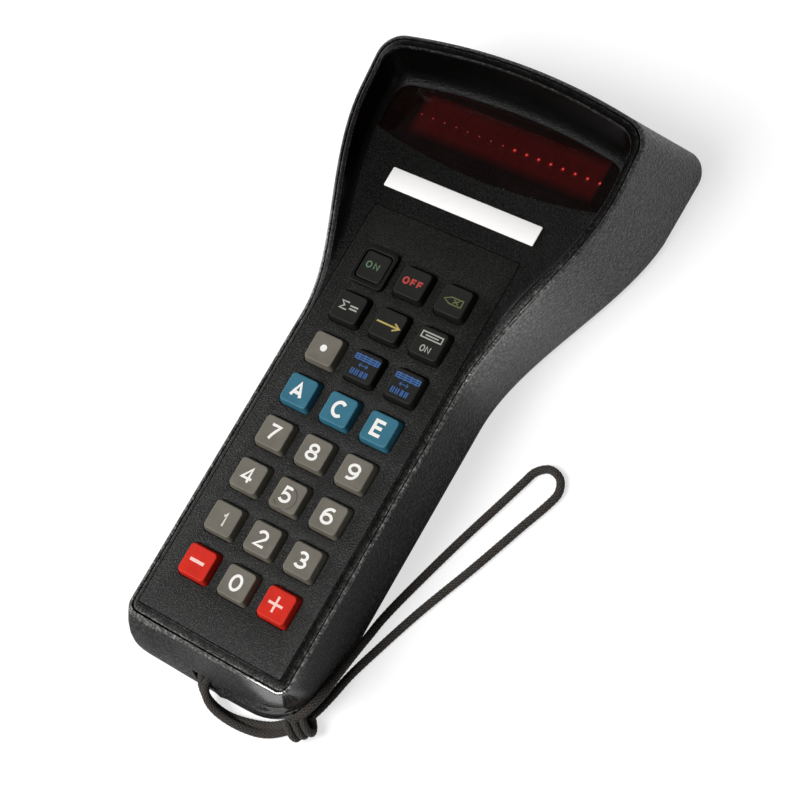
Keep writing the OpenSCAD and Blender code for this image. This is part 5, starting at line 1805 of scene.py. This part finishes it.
def pale_floor(name, tone):
    """Pale floor that keeps the part's shadow. It is white to the camera, and gloss sees it dark
    close by and bright further off."""
    f = Finish(name, Roughness=0.9, Specular_IOR_Level=0.1, Emission_Color=(1.0, 1.0, 1.0))
    path = f.node("LightPath").outputs
    gloss = path["Is Glossy Ray"]
    seen = f.math("MAXIMUM", path["Is Camera Ray"], path["Is Transmission Ray"])
    side = f.node("VectorMath", {0: f.place, 1: GLEAM_WAY}, operation="DOT_PRODUCT").outputs["Value"]
    away = f.node("VectorMath", {0: f.place}, operation="LENGTH").outputs["Value"]
    far = f.spread(away, *FAR_RUN)
    near = f.times(gloss, f.math("SUBTRACT", 1.0, far))
    pale = f.blend(f.spread(f.noise(60.0), 0.4, 0.6), darker(tone, 0.99), tone)
    pale = f.blend(f.times(near, f.spread(side, *GLEAM_RUN, *GLEAM_DIM)), pale, BLACK)
    f.set("Base Color", f.blend(seen, pale, SEEN_GREY))
    gleam = f.math("MAXIMUM", f.spread(side, *GLEAM_RUN, *GLEAM_LIGHT), f.times(far, FAR_LIGHT))
    shown = f.times(seen, f.spread(away, *SEEN_RUN, *SEEN_LIGHT))
    f.set("Emission Strength", f.math("ADD", shown, f.times(gloss, gleam)))
    return f.material


def studio_world(name, strength):
    """Even white light of a strength from all round, and white where the camera or glass looks."""
    world = bpy.data.worlds.new(name)
    world.use_nodes = True
    background = world.node_tree.nodes["Background"]
    background.inputs["Color"].default_value = (1, 1, 1, 1)
    make, link = world.node_tree.nodes.new, world.node_tree.links.new
    path = make("ShaderNodeLightPath").outputs
    seen = make("ShaderNodeMath")
    seen.operation = "MAXIMUM"
    level = make("ShaderNodeMapRange")
    level.inputs["To Min"].default_value = strength
    link(path["Is Camera Ray"], seen.inputs[0])
    link(path["Is Transmission Ray"], seen.inputs[1])
    link(seen.outputs["Value"], level.inputs["Value"])
    link(level.outputs["Result"], background.inputs["Strength"])
    return world


class TERMINAL_OT_stage(bpy.types.Operator):
    """Makes the floor, the backdrop and the lights"""

    bl_idname = "terminal.stage"
    bl_label = "Stage"

    def execute(self, context):
        s = context.scene.terminal_stage
        context.scene.view_settings.view_transform = "Standard"
        slab = Solid().box((-FLOOR_HALF, -FLOOR_HALF, -FLOOR_T), (FLOOR_HALF, FLOOR_HALF, 0))
        floor = slab.piece("floor")
        floor.data.materials.append(pale_floor("floor", s.floor))
        for name, place, size, power in (
            ("key", (-0.52, -0.95, 1.68), (0.9, 0.9), s.key_light),
            ("left", (-0.92, 0.10, 0.27), (0.9, 0.25), s.left_light),
            ("right", (0.92, 0.00, 0.19), (0.3, 0.1), s.right_light),
        ):
            lamp = bpy.data.lights.new(name, "AREA")
            lamp.shape = "RECTANGLE"
            lamp.size, lamp.size_y = size
            lamp.energy = power
            obj = new_object(name, lamp)
            obj.location = place
            obj.rotation_euler = (-Vector(place)).to_track_quat("-Z", "Y").to_euler()
        context.scene.world = studio_world("studio", s.sky)
        return {"FINISHED"}


class TERMINAL_PT_panel(bpy.types.Panel):
    """Lists the settings and the operators"""

    bl_idname = "TERMINAL_PT_panel"
    bl_label = "Data terminal"
    bl_space_type = "VIEW_3D"
    bl_region_type = "UI"
    bl_category = "Terminal"

    def draw(self, context):
        for attribute, group in SETTINGS.items():
            for name in group.__annotations__:
                self.layout.prop(getattr(context.scene, attribute), name)
        for operator in OPERATORS:
            self.layout.operator(operator.bl_idname)


SETTINGS = {
    "terminal_shell": ShellSettings,
    "terminal_keypad": KeypadSettings,
    "terminal_display": DisplaySettings,
    "terminal_strap": StrapSettings,
    "terminal_stage": StageSettings,
}
OPERATORS = (
    TERMINAL_OT_camera,
    TERMINAL_OT_strap,
    TERMINAL_OT_rear_shell,
    TERMINAL_OT_front_shell,
    TERMINAL_OT_keypad_panel,
    TERMINAL_OT_keycaps,
    TERMINAL_OT_legends,
    TERMINAL_OT_display,
    TERMINAL_OT_battery,
    TERMINAL_OT_inside,
    TERMINAL_OT_fittings,
    TERMINAL_OT_stage,
)


def register():
    for cls in (*SETTINGS.values(), *OPERATORS, TERMINAL_PT_panel):
        bpy.utils.register_class(cls)
    for attribute, group in SETTINGS.items():
        setattr(bpy.types.Scene, attribute, PointerProperty(type=group))


def unregister():
    for attribute in SETTINGS:
        delattr(bpy.types.Scene, attribute)
    for cls in (TERMINAL_PT_panel, *reversed(OPERATORS), *reversed(SETTINGS.values())):
        bpy.utils.unregister_class(cls)


def main():
    register()
    for operator in OPERATORS:
        name = operator.bl_idname.split(".")[1]
        getattr(bpy.ops.terminal, name)()


if __name__ == "__main__":
    main()
